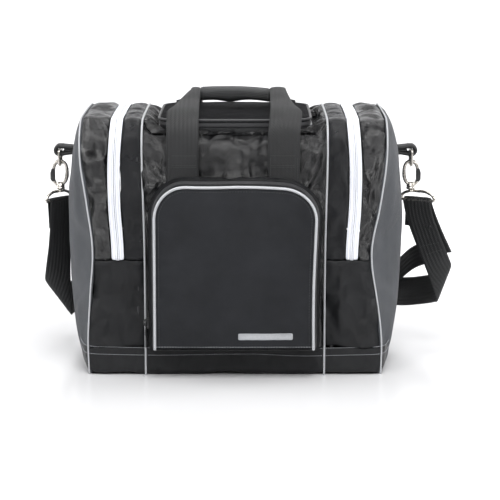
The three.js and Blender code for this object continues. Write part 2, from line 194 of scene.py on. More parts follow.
def creases(tree, scale):
    """Soft folds with sharper ridges, longer down the cloth than across it."""
    place = node(tree, "ShaderNodeTexCoord").outputs["Object"]
    drawn = node(tree, "ShaderNodeMapping", {"Vector": place, "Scale": (1.5, 1.0, 0.8)}).outputs["Vector"]
    soft = node(
        tree, "ShaderNodeTexNoise", {"Vector": drawn, "Scale": scale, "Detail": 1.2, "Distortion": 0.8}
    )
    sharp = node(tree, "ShaderNodeTexNoise", {"Vector": drawn, "Scale": scale * 0.8, "Detail": 1.0})
    ridge = math_node(tree, "ABSOLUTE", math_node(tree, "SUBTRACT", sharp.outputs["Fac"], 0.5))
    return weighted(tree, (soft.outputs["Fac"], 1.0), (ridge, -1.6))


def spread(tree, value, low, high):
    """A noise value stretched over a range."""
    return node(
        tree,
        "ShaderNodeMapRange",
        {"Value": value, "From Min": 0.3, "From Max": 0.7, "To Min": low, "To Max": high},
    ).outputs["Result"]


def shaded(colour, factor):
    return tuple(min(1, c * factor) for c in colour)


def paint(tree, shader, factor, dark, light):
    """The base colour, dark where the factor is 0 and light where it is 1."""
    mix = node(tree, "ShaderNodeMix", {0: factor, 6: (*dark, 1), 7: (*light, 1)}, data_type="RGBA")
    tree.links.new(mix.outputs[2], shader.inputs["Base Color"])


def bump(tree, shader, height, distance, strength=1.0):
    n = node(tree, "ShaderNodeBump", {"Height": height, "Distance": distance, "Strength": strength})
    tree.links.new(n.outputs["Normal"], shader.inputs["Normal"])


def cloth_material(name, colour, rough, thread, sheen, gloss=0.0, crumple=0.0):
    """Woven cloth: crossed threads, uneven dye, and a finer or coarser shine."""
    m, tree, shader = new_material(name, colour, rough, sheen=sheen)
    flat = flat_coordinates(tree)
    warp = wave(tree, flat, "X", thread)
    weft = wave(tree, flat, "Y", thread)
    weave = math_node(tree, "MULTIPLY", warp, weft)
    dye = spread(tree, grain(tree, 22, 5), 0.0, 1.0)
    fleck = spread(tree, grain(tree, 900, 2), 0.0, 0.5)
    tone = weighted(tree, (dye, 0.6), (fleck, 0.5), (weave, 0.25))
    paint(tree, shader, tone, shaded(colour, 0.72), shaded(colour, 1.35))
    shine = spread(tree, grain(tree, 40, 3), rough - 0.06, rough + 0.08)
    tree.links.new(shine, shader.inputs["Roughness"])
    folds = [(creases(tree, 25), crumple)] if crumple else []
    bump(tree, shader, weighted(tree, (weave, 0.35), *folds), 0.0006)
    shader.inputs["Specular IOR Level"].default_value = 0.35 + gloss
    return m


def webbing_material(name, colour, rib=4.8):
    """Ribs along the webbing, crossed by a fine herringbone."""
    m, tree, shader = new_material(name, colour, 0.62, sheen=0.05)
    flat = flat_coordinates(tree)
    ribs = wave(tree, flat, "X", rib)
    picks = wave(tree, flat, "DIAGONAL", 1.6, distortion=0.4)
    height = weighted(tree, (ribs, 0.7), (picks, 0.5))
    dye = spread(tree, grain(tree, 60, 4), 0.0, 0.7)
    tone = weighted(tree, (height, 0.14), (dye, 1.0))
    paint(tree, shader, tone, shaded(colour, 0.7), shaded(colour, 1.4))
    bump(tree, shader, height, 0.0005)
    return m


def zipper_material(name, colour, line, period=3.1):
    """Coated tape: fine lines along it, a little soiled."""
    m, tree, shader = new_material(name, colour, 0.42, sheen=0.1)
    flat = flat_coordinates(tree)
    lines = wave(tree, flat, "X", period)
    sharp = math_node(tree, "POWER", lines, 6.0)
    soil = spread(tree, grain(tree, 30, 5), 0.0, 0.3)
    paint(tree, shader, weighted(tree, (sharp, 0.6), (soil, 1.0)), colour, line)
    bump(tree, shader, math_node(tree, "SUBTRACT", 1.0, sharp), 0.0005, 0.7)
    return m


def cord_material(name, colour):
    """Metallic-thread piping with a fine twist."""
    m, tree, shader = new_material(name, colour, 0.38, metallic=0.35, sheen=0.1)
    flat = flat_coordinates(tree)
    twist = wave(tree, flat, "DIAGONAL", 1.4)
    paint(tree, shader, twist, shaded(colour, 0.75), shaded(colour, 1.15))
    bump(tree, shader, twist, 0.0003)
    return m


def metal_material(name, colour, rough):
    m, tree, shader = new_material(name, colour, rough, metallic=1.0)
    wear = spread(tree, grain(tree, 420, 6, 0.7), rough - 0.048, rough + 0.12)
    tree.links.new(wear, shader.inputs["Roughness"])
    tarnish = spread(tree, grain(tree, 70, 4), 0.0, 0.6)
    paint(tree, shader, tarnish, colour, shaded(colour, 0.7))
    bump(tree, shader, grain(tree, 900, 2), 0.00008)
    return m


def enamel_material(name, colour):
    m, tree, shader = new_material(name, colour, 0.32, metallic=0.2, coat=0.4)
    rub = spread(tree, grain(tree, 300, 6, 0.7), 0.24, 0.5)
    tree.links.new(rub, shader.inputs["Roughness"])
    bump(tree, shader, grain(tree, 700, 3), 0.0001)
    return m


def foam_material(name, colour):
    m, tree, shader = new_material(name, colour, 0.9, sheen=0.3)
    pores = grain(tree, 1100, 4, 0.7)
    paint(tree, shader, spread(tree, pores, 0, 1), shaded(colour, 0.6), shaded(colour, 1.5))
    bump(tree, shader, pores, 0.0006)
    return m


MATS = {
    "twill_cloth": cloth_material("twill_cloth", (0.0056, 0.006, 0.0072), 0.37, 0.9, 0.0, -0.04, 9.0),
    "pocket_cloth": cloth_material("pocket_cloth", (0.0142, 0.0152, 0.0178), 0.66, 0.9, 0.02, -0.15, 0.35),
    "satin_cloth": cloth_material("satin_cloth", (0.002, 0.002, 0.0027), 0.19, 0.5, 0.0, 0.5, 38.0),
    "grey_cloth": cloth_material("grey_cloth", (0.050, 0.054, 0.062), 0.8, 0.9, 0.12),
    "lining": cloth_material("lining", (0.008, 0.008, 0.009), 0.8, 0.6, 0.0, -0.28),
    "gusset_cloth": cloth_material("gusset_cloth", (0.005, 0.0054, 0.007), 0.32, 0.6, 0.0, 0.0, 8.0),
    "zipper_tape": zipper_material("zipper_tape", (0.86, 0.88, 0.93), (0.52, 0.54, 0.6)),
    "black_tape": zipper_material("black_tape", (0.016, 0.016, 0.018), (0.05, 0.05, 0.055), 1.6),
    "piping": cord_material("piping", (0.50, 0.51, 0.53)),
    "webbing": webbing_material("webbing", (0.0085, 0.009, 0.0098)),
    "plated_metal": metal_material("plated_metal", (0.62, 0.59, 0.54), 0.22),
    "black_metal": enamel_material("black_metal", (0.015, 0.015, 0.016)),
    "wrap_cloth": webbing_material("wrap_cloth", (0.012, 0.013, 0.014), 2.0),
    "foam": foam_material("foam", (0.045, 0.046, 0.05)),
    "stiff_board": enamel_material("stiff_board", (0.02, 0.02, 0.02)),
    "thread": plain("thread", (0.30, 0.31, 0.33), 0.6, sheen=0.3),
    "label_cloth": cloth_material("label_cloth", (0.42, 0.43, 0.45), 0.7, 0.7, 0.2),
    "black_thread": plain("black_thread", (0.032, 0.032, 0.035), 0.6, sheen=0.05),
}

# ---------------------------------------------------------------- meshes


def mesh_piece(name, verts, faces, material, body=None, uvs=None, slot=None, stands_for=()):
    """A piece from points in mm. uvs, if given, holds one (u, v) in mm for each point."""
    mesh = bpy.data.meshes.new(name)
    mesh.from_pydata([tuple(c * MM for c in v) for v in verts], [], faces)
    if uvs is not None:
        layer = mesh.uv_layers.new(name="cloth")
        for loop in mesh.loops:
            layer.data[loop.index].uv = uvs[loop.vertex_index]
    mesh.polygons.foreach_set("use_smooth", [True] * len(mesh.polygons))
    mesh.materials.append(MATS[material])
    mesh.update()
    o = bpy.data.objects.new(name, mesh)
    bpy.context.collection.objects.link(o)
    if body:
        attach(o, body)
    if stands_for:
        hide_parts(*stands_for)
    return o


def grid_faces(rows, cols, wrap_rows=False, wrap_cols=False, flip=False):
    faces = []
    for i in range(rows if wrap_rows else rows - 1):
        for j in range(cols if wrap_cols else cols - 1):
            a = i * cols + j
            b = i * cols + (j + 1) % cols
            c = ((i + 1) % rows) * cols + (j + 1) % cols
            d = ((i + 1) % rows) * cols + j
            faces.append((a, d, c, b) if flip else (a, b, c, d))
    return faces


def way_out(points):
    """The outward normals of a grid of points [row, column]."""
    normal = np.cross(np.gradient(points, axis=1), np.gradient(points, axis=0))
    return normal / np.maximum(np.linalg.norm(normal, axis=2), 1e-6)[:, :, None]


def run_along(path):
    """Distance along a path, at each of its points."""
    return np.concatenate([[0], np.cumsum(np.linalg.norm(np.diff(path, axis=0), axis=1))])


def points_at(path, at):
    """The points of a path at the given distances along it."""
    run = run_along(path)
    return np.stack([np.interp(at, run, path[:, k]) for k in range(path.shape[1])], axis=1)


def soften(o, levels):
    m = o.modifiers.new("smooth", "SUBSURF")
    m.levels = m.render_levels = levels


def outwards(o):
    bm = bmesh.new()
    bm.from_mesh(o.data)
    bmesh.ops.recalc_face_normals(bm, faces=bm.faces)
    bm.to_mesh(o.data)
    bm.free()


def lengths(points):
    """Distance along each row of an array of points."""
    steps = np.linalg.norm(np.diff(points, axis=1), axis=2)
    return np.concatenate([np.zeros((points.shape[0], 1)), np.cumsum(steps, axis=1)], axis=1)


def sheet_uvs(points):
    along = lengths(points)
    down = lengths(points.transpose(1, 0, 2)).T
    return np.stack([along, down], axis=2).reshape(-1, 2)


def sheet_piece(name, points, material, body, thick=2.6, flip=False, fine=1, wrap=False, **more):
    """Cloth from an array of points [row, column]: thickness goes inwards, away from the normal."""
    points = np.asarray(points, float)
    rows, cols = points.shape[:2]
    uvs = sheet_uvs(points)
    faces = grid_faces(rows, cols, wrap_cols=wrap, flip=flip)
    o = mesh_piece(name, points.reshape(-1, 3), faces, material, body, uvs, **more)
    s = o.modifiers.new("thickness", "SOLIDIFY")
    s.thickness = thick * MM
    s.offset = -1
    s.use_even_offset = False
    soften(o, fine)
    return o


def smooth_path(points, steps, closed=False):
    """Even points on a Catmull-Rom curve through the given ones."""
    p = np.asarray(points, float)
    n = len(p)
    dense = []
    spans = n if closed else n - 1
    for i in range(spans):
        a = p[(i - 1) % n] if closed or i else 2 * p[0] - p[1]
        b, c = p[i], p[(i + 1) % n]
        d = p[(i + 2) % n] if closed or i + 2 < n else 2 * p[-1] - p[-2]
        square = 2 * a - 5 * b + 4 * c - d
        cubic = 3 * b - a - 3 * c + d
        for t in np.linspace(0, 1, 16, endpoint=False):
            dense.append(0.5 * (2 * b + (c - a) * t + square * t * t + cubic * t**3))
    dense.append(p[0] if closed else p[-1])
    dense = np.array(dense)
    at = np.linspace(0, run_along(dense)[-1], steps + 1)
    return points_at(dense, at[:-1] if closed else at)


def frames_along(path, closed=False):
    """Tangents and two turning-free normals along a path."""
    if closed:
        tangent = np.roll(path, -1, axis=0) - np.roll(path, 1, axis=0)
    else:
        tangent = np.gradient(path, axis=0)
    tangent /= np.linalg.norm(tangent, axis=1)[:, None]
    side = np.array((0.31, 0.2, 0.93))
    sides = []
    for t in tangent:
        side = side - t * side.dot(t)
        side /= np.linalg.norm(side)
        sides.append(side)
    sides = np.array(sides)
    return tangent, sides, np.cross(tangent, sides)


def tube_piece(name, path, radius, material, body, closed=False, around=10, **more):
    """A round cord or wire; radius may be a list, one for each point."""
    path = np.asarray(path, float)
    tangent, a, b = frames_along(path, closed)
    radii = np.broadcast_to(np.asarray(radius, float), (len(path),))
    angle = np.arange(around) * 2 * math.pi / around
    ring = np.cos(angle)[None, :, None] * a[:, None, :] + np.sin(angle)[None, :, None] * b[:, None, :]
    points = path[:, None, :] + radii[:, None, None] * ring
    verts = points.reshape(-1, 3).tolist()
    faces = grid_faces(len(path), around, wrap_rows=closed, wrap_cols=True)
    run = run_along(path)
    uvs = [(r * k * 2 * math.pi / around, s) for s, r in zip(run, radii) for k in range(around)]
    if not closed:
        for end, first, sign in ((0, 0, -1), (-1, (len(path) - 1) * around, 1)):
            centre = len(verts)
            verts.append((path[end] + sign * tangent[end] * radii[end] * 0.6).tolist())
            uvs.append((0, run[end]))
            for k in range(around):
                pair = (first + k, first + (k + 1) % around)
                faces.append((centre, *(pair[::-1] if sign < 0 else pair)))
    return mesh_piece(name, verts, faces, material, body, uvs, **more)


def ribbon_points(path, across, width):
    """Points [row, column] of a flat band whose width follows the across directions."""
    tangent = np.gradient(path, axis=0)
    tangent /= np.linalg.norm(tangent, axis=1)[:, None]
    across = across - tangent * np.sum(across * tangent, axis=1)[:, None]
    across /= np.linalg.norm(across, axis=1)[:, None]
    return path[:, None, :] + across[:, None, :] * width * np.linspace(-0.5, 0.5, 9)[None, :, None]


def band_piece(name, points, material, body, thick=1.9, **more):
    """Webbing as a closed slab with soft edges, its own coordinates running across and along."""
    points = np.asarray(points, float)
    rows, cols = points.shape[:2]
    profile = np.ones(cols)
    profile[0] = profile[-1] = 0.55
    half = way_out(points) * (thick / 2) * profile[None, :, None]
    loop = np.concatenate([points + half, (points - half)[:, ::-1]], axis=1)
    run = lengths(points.transpose(1, 0, 2)).T
    width = lengths(points)
    uv_top = np.stack([width, run], axis=2)
    uvs = np.concatenate([uv_top, uv_top[:, ::-1]], axis=1).reshape(-1, 2)
    faces = grid_faces(rows, 2 * cols, wrap_cols=True)
    for row, turn in ((0, True), (rows - 1, False)):
        for j in range(cols - 1):
            a, b = row * 2 * cols + j, row * 2 * cols + j + 1
            c, d = row * 2 * cols + 2 * cols - 2 - j, row * 2 * cols + 2 * cols - 1 - j
            faces.append((a, d, c, b) if turn else (a, b, c, d))
    o = mesh_piece(name, loop.reshape(-1, 3), faces, material, body, uvs, **more)
    outwards(o)
    soften(o, 1)
    return o


def stitches(name, paths, material, body, pitch=3.2, length=2.3, radius=0.42, lift=0.2):
    """Rows of sewn stitches: short threads along each path, given as (points, outward normals)."""
    verts, faces = [], []
    for path, outward in paths:
        path = np.asarray(path, float)
        outward = np.broadcast_to(np.asarray(outward, float), path.shape)
        run = run_along(path)
        for s in np.arange(pitch / 2, run[-1] - pitch / 2, pitch):
            ends = [
                np.array([np.interp(q, run, path[:, k]) for k in range(3)])
                for q in (s - length / 2, s + length / 2)
            ]
            n = np.array([np.interp(s, run, outward[:, k]) for k in range(3)])
            n /= np.linalg.norm(n)
            along = ends[1] - ends[0]
            side = np.cross(n, along / np.linalg.norm(along))
            base = len(verts)
            middle = (ends[0] + ends[1]) / 2 + n * lift
            verts += [ends[0] - n * 0.2, ends[1] - n * 0.2]
            for q in (-0.28, 0.28):
                c = middle + along * q
                verts += [c + side * radius, c + n * radius, c - side * radius, c - n * radius]
            for k in range(4):
                k2 = (k + 1) % 4
                faces += [(base, base + 2 + k2, base + 2 + k), (base + 1, base + 6 + k, base + 6 + k2)]
                faces.append((base + 2 + k, base + 2 + k2, base + 6 + k2, base + 6 + k))
    return mesh_piece(name, verts, faces, material, body)

# ---------------------------------------------------------------- cloth


def inflate(points, pinned, pressure, grow, cap, frames):
    """Blows up a cloth from points [row, column], held where they are pinned, and returns the new ones."""
    points = np.asarray(points, float)
    rows, cols = points.shape[:2]
    pinned = np.asarray(pinned, bool)
    mesh = bpy.data.meshes.new("trial")
    mesh.from_pydata((points.reshape(-1, 3) * MM).tolist(), [], grid_faces(rows, cols))
    o = bpy.data.objects.new("trial", mesh)
    bpy.context.collection.objects.link(o)
    group = o.vertex_groups.new(name="held")
    group.add(np.flatnonzero(pinned.reshape(-1)).tolist(), 1.0, "REPLACE")
    c = o.modifiers.new("cloth", "CLOTH")
    c.settings.vertex_group_mass = "held"
    c.settings.quality = 7
    c.settings.mass = 0.25
    c.settings.tension_stiffness = c.settings.compression_stiffness = 12.0
    c.settings.shear_stiffness = 4
    c.settings.bending_stiffness = 0.12
    c.settings.tension_damping = 8
    c.settings.air_damping = 3
    c.settings.use_pressure = True
    c.settings.uniform_pressure_force = pressure
    c.settings.shrink_min = -grow
    c.settings.effector_weights.gravity = 0.0
    c.collision_settings.use_collision = False
    c.collision_settings.use_self_collision = False
    c.point_cache.frame_start = 1
    c.point_cache.frame_end = frames
    for frame_number in range(1, frames + 1):
        bpy.context.scene.frame_set(frame_number)
    done = o.evaluated_get(bpy.context.evaluated_depsgraph_get())
    flat = np.empty(rows * cols * 3)
    done.data.vertices.foreach_get("co", flat)
    out = flat.reshape(rows, cols, 3) / MM
    bpy.data.objects.remove(o)
    bpy.data.meshes.remove(mesh)
    bpy.context.scene.frame_set(1)
    move = out - points
    size = np.linalg.norm(move, axis=2)
    keep = np.where(size > 1e-6, cap * np.tanh(size / cap) / np.maximum(size, 1e-6), 1.0)
    return points + move * keep[:, :, None]


def wrinkle(points, amount, scale=0.03, stretch=(1, 1, 1), seed=0.0, fade=None):
    """Folds and dents by noise along the surface's own normals."""
    points = np.asarray(points, float)
    normal = way_out(points)
    out = points.copy()
    for i in range(points.shape[0]):
        for j in range(points.shape[1]):
            p = points[i, j]
            q = Vector(
                (p[0] * scale * stretch[0] + seed, p[1] * scale * stretch[1], p[2] * scale * stretch[2])
            )
            n = noise.fractal(q, 1.0, 2.0, 3)
            ridge = abs(noise.noise(q * 1.7 + Vector((5.2, seed, 1.3))))
            size = amount if fade is None else amount * fade[i, j]
            out[i, j] = p + normal[i, j] * size * (n * 0.8 - ridge * 1.1 + 0.25)
    return out


def relax_edge(points, depth):
    """Tucks the sides of a panel inwards, as where it is sewn under its neighbour."""
    push = np.zeros(points.shape[1])
    push[[0, -1]] = depth
    push[[1, -2]] = depth * 0.5**1.5
    return points - way_out(points) * push[None, :, None]


# ---------------------------------------------------------------- the bag's outer shape, in mm

HALF_DEPTH = 119.0
CORNER, END_CORNER = 17.0, 31.0  # the ends are rounder than the centre
END_TOP = 303.3
CENTRE_TOP = 286.0
FOLD = 138.5  # where the end zippers stop
BAND = 33.0

OUTER_SEAM = (
    (0, 173), (42, 174), (95, 171), (150, 167.5), (205, 174), (250, 180.5), (280, 181.5), (302, 181)
)
INNER_SEAM = ((0, 106), (150, 106.5), (250, 108.8), (300, 108.8))
ZIP_LINE = ((0, 140), (136, 138), (200, 141.5), (250, 142), (300, 139))
BELLY = (
    (0, 181), (15, 187), (55, 194), (100, 198), (165, 201), (205, 200), (250, 195.5), (285, 188.5),
    (302, 182),
)
ZIP_HALF = 7.4
BASE_X = (0.0, 109.0, 133.5, 141.0, 148.5, 177.0)


SMOOTH = {}  # each table's curve, once made


def at_height(table, z):
    """The table's value at a height, on a smooth curve through its entries."""
    if table not in SMOOTH:
        SMOOTH[table] = smooth_path(table, 120)
    curve = SMOOTH[table]
    return float(np.interp(z, curve[:, 0], curve[:, 1]))


def seam_x(base_x, z):
    zip_x = at_height(ZIP_LINE, z)
    outer = at_height(OUTER_SEAM, z)
    if base_x > 0:  # the right end is pressed in a little more at its waist
        outer -= 6.5 * math.exp(-(((z - 140) / 62) ** 2)) + 3.0 * min(1.0, max(0.0, (z - 190) / 60))
    stops = (0.0, at_height(INNER_SEAM, z), zip_x - ZIP_HALF, zip_x, zip_x + ZIP_HALF, outer)
    return math.copysign(float(np.interp(abs(base_x), BASE_X, stops)), base_x)


def towards_end(base_x, centre, end):
    """From the centre's value to the ends' one, across the seam between them."""
    t = min(1.0, max(0.0, (abs(base_x) - 98.5) / 13))
    return centre + (end - centre) * t * t * (3 - 2 * t)


COLUMNS = []
for start, stop, count in (
    (-177, -148.5, 6),
    (-148.5, -133.5, 4),
    (-133.5, -109, 5),
    (-109, 109, 38),
    (109, 133.5, 5),
    (133.5, 148.5, 4),
    (148.5, 177, 6),
):
    COLUMNS += np.linspace(start, stop, count, endpoint=False).tolist()
COLUMNS.append(177.0)
C_ZIP_OUT, C_ZIP_MID, C_ZIP_IN, C_SEAM = 6, 8, 10, 15
LAST_COL = len(COLUMNS) - 1

ROWS = [("front", z) for z in np.linspace(0, BAND, 6, endpoint=False)]
ROWS += [("front", z) for z in np.linspace(BAND, FOLD, 18, endpoint=False)]
ROWS += [("front", z) for z in np.linspace(FOLD, END_TOP - CORNER, 24, endpoint=False)]
ROWS += [("corner", a) for a in np.linspace(0, 90, 5, endpoint=False)]
ROWS += [("top", y) for y in np.linspace(-HALF_DEPTH + CORNER, 0, 18, endpoint=False)]
R_BAND, R_FOLD, R_CORNER, R_TOP, R_MIDDLE = 6, 24, 48, 53, 71
LAST_ROW = 2 * R_MIDDLE


def belly(seam, y, z):
    """How far out an end stands at a point, past its seam."""
    across = max(0.0, math.cos(math.pi * y / (2 * (HALF_DEPTH - 1)))) ** 0.75
    return max(0.0, at_height(BELLY, z) - seam) * across


def belt_point(kind, value, base_x):
    """A point of the bag's front or top half; the back mirrors it."""
    top = towards_end(base_x, CENTRE_TOP, END_TOP)
    r = towards_end(base_x, CORNER, END_CORNER)
    if kind == "front":
        z = value
        if z > FOLD:
            z = FOLD + (value - FOLD) * (top - r - FOLD) / (END_TOP - CORNER - FOLD)
        y = -HALF_DEPTH
    elif kind == "corner":
        a = math.radians(value)
        y = -HALF_DEPTH + r - r * math.cos(a)
        z = top - r + r * math.sin(a)
    else:
        y = value * (HALF_DEPTH - r) / (HALF_DEPTH - CORNER)
        z = top + 1.5 * (1 - (value / HALF_DEPTH) ** 2)
    round_in = 4.0 * max(0.0, (abs(base_x) - 160) / 17) ** 2
    y = math.copysign(max(0.0, abs(y) - round_in), y) if kind != "top" else y
    return (seam_x(base_x, z), y, z)


def belt_shape():
    front = np.array([[belt_point(kind, value, x) for x in COLUMNS] for kind, value in ROWS])
    middle = np.array([[belt_point("top", 0.0, x) for x in COLUMNS]])
    back = front[::-1] * np.array([1, -1, 1])
    return np.concatenate([front, middle, back], axis=0)


def end_shape(belt, side):
    """A bulging end panel whose border is the belt's own edge."""
    edge = belt[:, 0 if side < 0 else LAST_COL]
    front = edge[: R_CORNER + 1]
    top = edge[R_CORNER : LAST_ROW - R_CORNER + 1]
    back = edge[LAST_ROW - R_CORNER :][::-1]
    up = np.linspace(0, 1, len(front))[:, None, None]
    over = np.linspace(0, 1, len(top))[None, :, None]
    crest = front[-1] * (1 - over) + back[-1] * over
    points = front[:, None] * (1 - over) + back[:, None] * over + (top[None] - crest) * up
    for point in points.reshape(-1, 3):
        seam = abs(point[0])
        from_edge = min(1.0, abs(abs(point[1]) / (HALF_DEPTH - 2) - 1) * 2.2)
        point[0] = side * (seam + belly(seam, point[1], point[2]) * min(1.0, from_edge * 1.4))
    return points if side > 0 else points[:, ::-1]


def make_shell():
    belt = belt_shape()
    held = np.zeros(belt.shape[:2], bool)
    for c in (0, C_SEAM, LAST_COL - C_SEAM, LAST_COL):
        held[:, c] = True
    held[:, C_ZIP_OUT : C_ZIP_IN + 1] = True
    held[:, LAST_COL - C_ZIP_IN : LAST_COL - C_ZIP_OUT + 1] = True
    held[: R_BAND + 1] = True
    held[-R_BAND - 1 :] = True
    for r in (R_FOLD, LAST_ROW - R_FOLD):
        held[r, : C_SEAM + 1] = True
        held[r, LAST_COL - C_SEAM :] = True
    centre = slice(C_SEAM, LAST_COL - C_SEAM + 1)
    held[R_TOP : LAST_ROW - R_TOP + 1, centre] = True
    held[R_BAND:37, centre] = True  # behind the pocket
    for c, x in enumerate(COLUMNS):
        if HANDLE_IN - 3 < abs(x) < HANDLE_OUT + 3:
            held[37:R_TOP, c] = held[LAST_ROW - R_TOP : LAST_ROW - R_BAND, c] = True
    belt = inflate(belt, held, pressure=2.2, grow=0.035, cap=6.0, frames=18)
    ends = {}
    for side, name in ((-1, "left"), (1, "right")):
        start = end_shape(belt_shape(), side)
        fixed = np.zeros(start.shape[:2], bool)
        fixed[0] = fixed[-1] = True
        fixed[:, 0] = fixed[:, -1] = True
        ends[name] = inflate(start, fixed, pressure=1.6, grow=0.02, cap=4.0, frames=16)
    return belt, ends


def shell_pieces(belt, ends):
    top_rows = slice(R_FOLD, LAST_ROW - R_FOLD + 1)
    shine = dict(scale=0.028, stretch=(1.6, 1, 0.8))
    for side, name in ((-1, "left"), (1, "right")):
        mirror = (lambda a: a) if side < 0 else (lambda a: LAST_COL - a)

        def columns(a, b):
            lo, hi = sorted((mirror(a), mirror(b)))
            return slice(lo, hi + 1)

        # Outer gusset, shiny and creased, from where the zipper stops
        outer = belt[top_rows, columns(0, C_ZIP_OUT)]
        outer = wrinkle(outer, 6.0, seed=side * 3.1, fade=gusset_fade(outer), **shine)
        outer = relax_edge(outer, 1.4)
        o = sheet_piece(
            name + "_outer_cloth", outer, "satin_cloth", None, fine=2, stands_for=(name + "_outer_gusset",)
        )
        hang(o)
        for part, cols, body in (
            ("outer", columns(C_ZIP_OUT, C_ZIP_MID), None),
            ("inner", columns(C_ZIP_MID, C_ZIP_IN), "bag"),
        ):
            tape = belt[top_rows, cols].copy()
            middle = 0 if (cols.start == mirror(C_ZIP_MID)) else -1
            tape[:, middle, 0] += 0.35 * (1 if middle == 0 else -1)
            o = sheet_piece(
                f"{name}_zip_{part}",
                tape,
                "zipper_tape",
                body,
                thick=1.2,
                stands_for=(f"{name}_zip_{part}_tape",),
            )
            if not body:
                hang(o)
        line = belt[top_rows, mirror(C_ZIP_MID)]
        for part, shift, body in (("outer", side, None), ("inner", -side, "bag")):
            path = smooth_path(line + np.array([shift * 0.95, 0, 0]) + seam_outwards(line) * 0.15, 240)
            o = tube_piece(f"{name}_zip_{part}_teeth", path, 0.85, "zipper_tape", body, around=8)
            if not body:
                hang(o)
        inner = belt[top_rows, columns(C_ZIP_IN, C_SEAM)]
        inner = relax_edge(
            wrinkle(inner, 2.6, seed=side * 5.7, fade=gusset_fade(inner, 0.0, 0.9), **shine), 0.9
        )
        sheet_piece(
            name + "_inner_cloth", inner, "gusset_cloth", "bag", fine=2, slot="twill_cloth", stands_for=(
                name + "_inner_gusset",
            )
        )
        for part, rows in (
            ("front", slice(R_BAND, R_FOLD + 1)), ("back", slice(LAST_ROW - R_FOLD, LAST_ROW - R_BAND + 1))
        ):
            panel = belt[rows, columns(0, C_SEAM)]
            panel = relax_edge(wrinkle(panel, 5.5, scale=0.013, seed=side * 2.3), 1.0)
            sheet_piece(
                f"{name}_{part}_cloth", panel, "twill_cloth", "bag", fine=2, stands_for=(
                    f"{name}_{part}_lower",
                )
            )
        end = wrinkle(ends[name], 1.4, scale=0.016, seed=side * 7.7, fade=edge_fade(ends[name]))
        o = sheet_piece(
            name + "_end_cloth",
            end,
            "grey_cloth",
            None,
            thick=3.0,
            fine=1,
            stands_for=(name + "_end_lower", name + "_end_panel"),
        )
        hang(o)
        edge = belt[:, 0 if side < 0 else LAST_COL]
        path = smooth_path(edge + np.array([side * 0.6, 0, 0]), 260)
        o = tube_piece(name + "_outer_piping", path, 1.05, "piping", None, around=8)
        hang(o)
        seam = belt[:, mirror(C_SEAM)]
        out = seam_outwards(seam)
        path = smooth_path(seam + out * 0.9, 260)
        tube_piece(
            name + "_seam_piping", path, 1.3, "piping", "bag", around=8, stands_for=(
                name + "_inner_piping",
            )
        )
    centre = slice(C_SEAM, LAST_COL - C_SEAM + 1)
    front = belt[R_BAND : R_TOP + 1, centre]
    fade = np.ones(front.shape[:2])
    fade[: 33 - R_BAND] = 0.2
    fade[-6:] = np.linspace(0.85, 0.12, 6)[:, None]
    under_legs = leg_fade(centre)
    front = relax_edge(
        wrinkle(front, 8.0, seed=1.9, fade=fade * under_legs, scale=0.027, stretch=(1, 1, 1.2)), 1.2
    )
    sheet_piece("front_cloth", front, "satin_cloth", "bag", fine=2, stands_for=("front_panel",))
    back = belt[LAST_ROW - R_TOP : LAST_ROW - R_BAND + 1, centre]
    back = relax_edge(
        wrinkle(back, 2.4, seed=8.4, scale=0.018, fade=np.ones(back.shape[:2]) * under_legs), 1.2
    )
    sheet_piece("back_cloth", back, "satin_cloth", "bag", fine=1, stands_for=("back_panel",))


def gusset_fade(points, least=0.25, top=0.6):
    """Folds die out towards the seams, and are low where the cloth is pulled over the top."""
    cols = points.shape[1]
    near = np.minimum(np.arange(cols), np.arange(cols)[::-1])
    high = np.clip((points[:, :, 2] - 270) / 20, 0, 1)
    return np.minimum(1.0, (near + least) / 1.6)[None, :] * (1 - top * high)


def leg_fade(columns):
    """Smaller folds where the handles' webbing is sewn down."""
    x = np.abs(np.array(COLUMNS[columns]))
    near = np.clip((np.abs(x - (HANDLE_IN + HANDLE_OUT) / 2) - 17) / 8, 0, 1)
    return (0.08 + 0.92 * near)[None, :]


def edge_fade(points):
    """Folds die out towards a panel's border."""
    rows, cols = points.shape[:2]
    v = np.minimum(np.arange(rows), np.arange(rows)[::-1]) / 6.0
    u = np.minimum(np.arange(cols), np.arange(cols)[::-1]) / 6.0
    return np.minimum(1, v)[:, None] * np.minimum(1, u)[None, :]


def seam_outwards(path):
    """Directions out of the bag along a seam that goes up the front, over the top and down the back."""
    tangent = np.gradient(path, axis=0)
    out = np.stack([np.zeros(len(path)), -tangent[:, 2], tangent[:, 1]], axis=1)
    return out / np.linalg.norm(out, axis=1)[:, None]


def hang(o):
    """Cloth of an end, left on no body, its placing baked into its points."""
    o.parent = None
    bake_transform(o)

# ---------------------------------------------------------------- rounded outlines


def on_outline(u, v, half_x, half_y, low_r, high_r):
    """The point of a rounded rectangle that a point on the border of the square from -1 to 1 maps to."""
    r = high_r if v > 0 else low_r
    x, y = abs(u) * half_x, abs(v) * half_y
    if r > 0 and x > half_x - r and y > half_y - r:
        a = math.atan2((y - half_y + r) / r, (x - half_x + r) / r)
        x, y = half_x - r + r * math.cos(a), half_y - r + r * math.sin(a)
    return math.copysign(x, u), math.copysign(y, v)


def filled_outline(half_x, half_y, low_r, high_r, steps=(30, 30)):
    """A grid of (x, y) points that fills a rounded rectangle."""
    points = np.zeros((steps[1] + 1, steps[0] + 1, 2))
    for i, v in enumerate(np.linspace(-1, 1, steps[1] + 1)):
        for j, u in enumerate(np.linspace(-1, 1, steps[0] + 1)):
            rho = max(abs(u), abs(v))
            if rho > 1e-9:
                edge = on_outline(u / rho, v / rho, half_x, half_y, low_r, high_r)
                points[i, j] = (edge[0] * rho, edge[1] * rho)
    return points


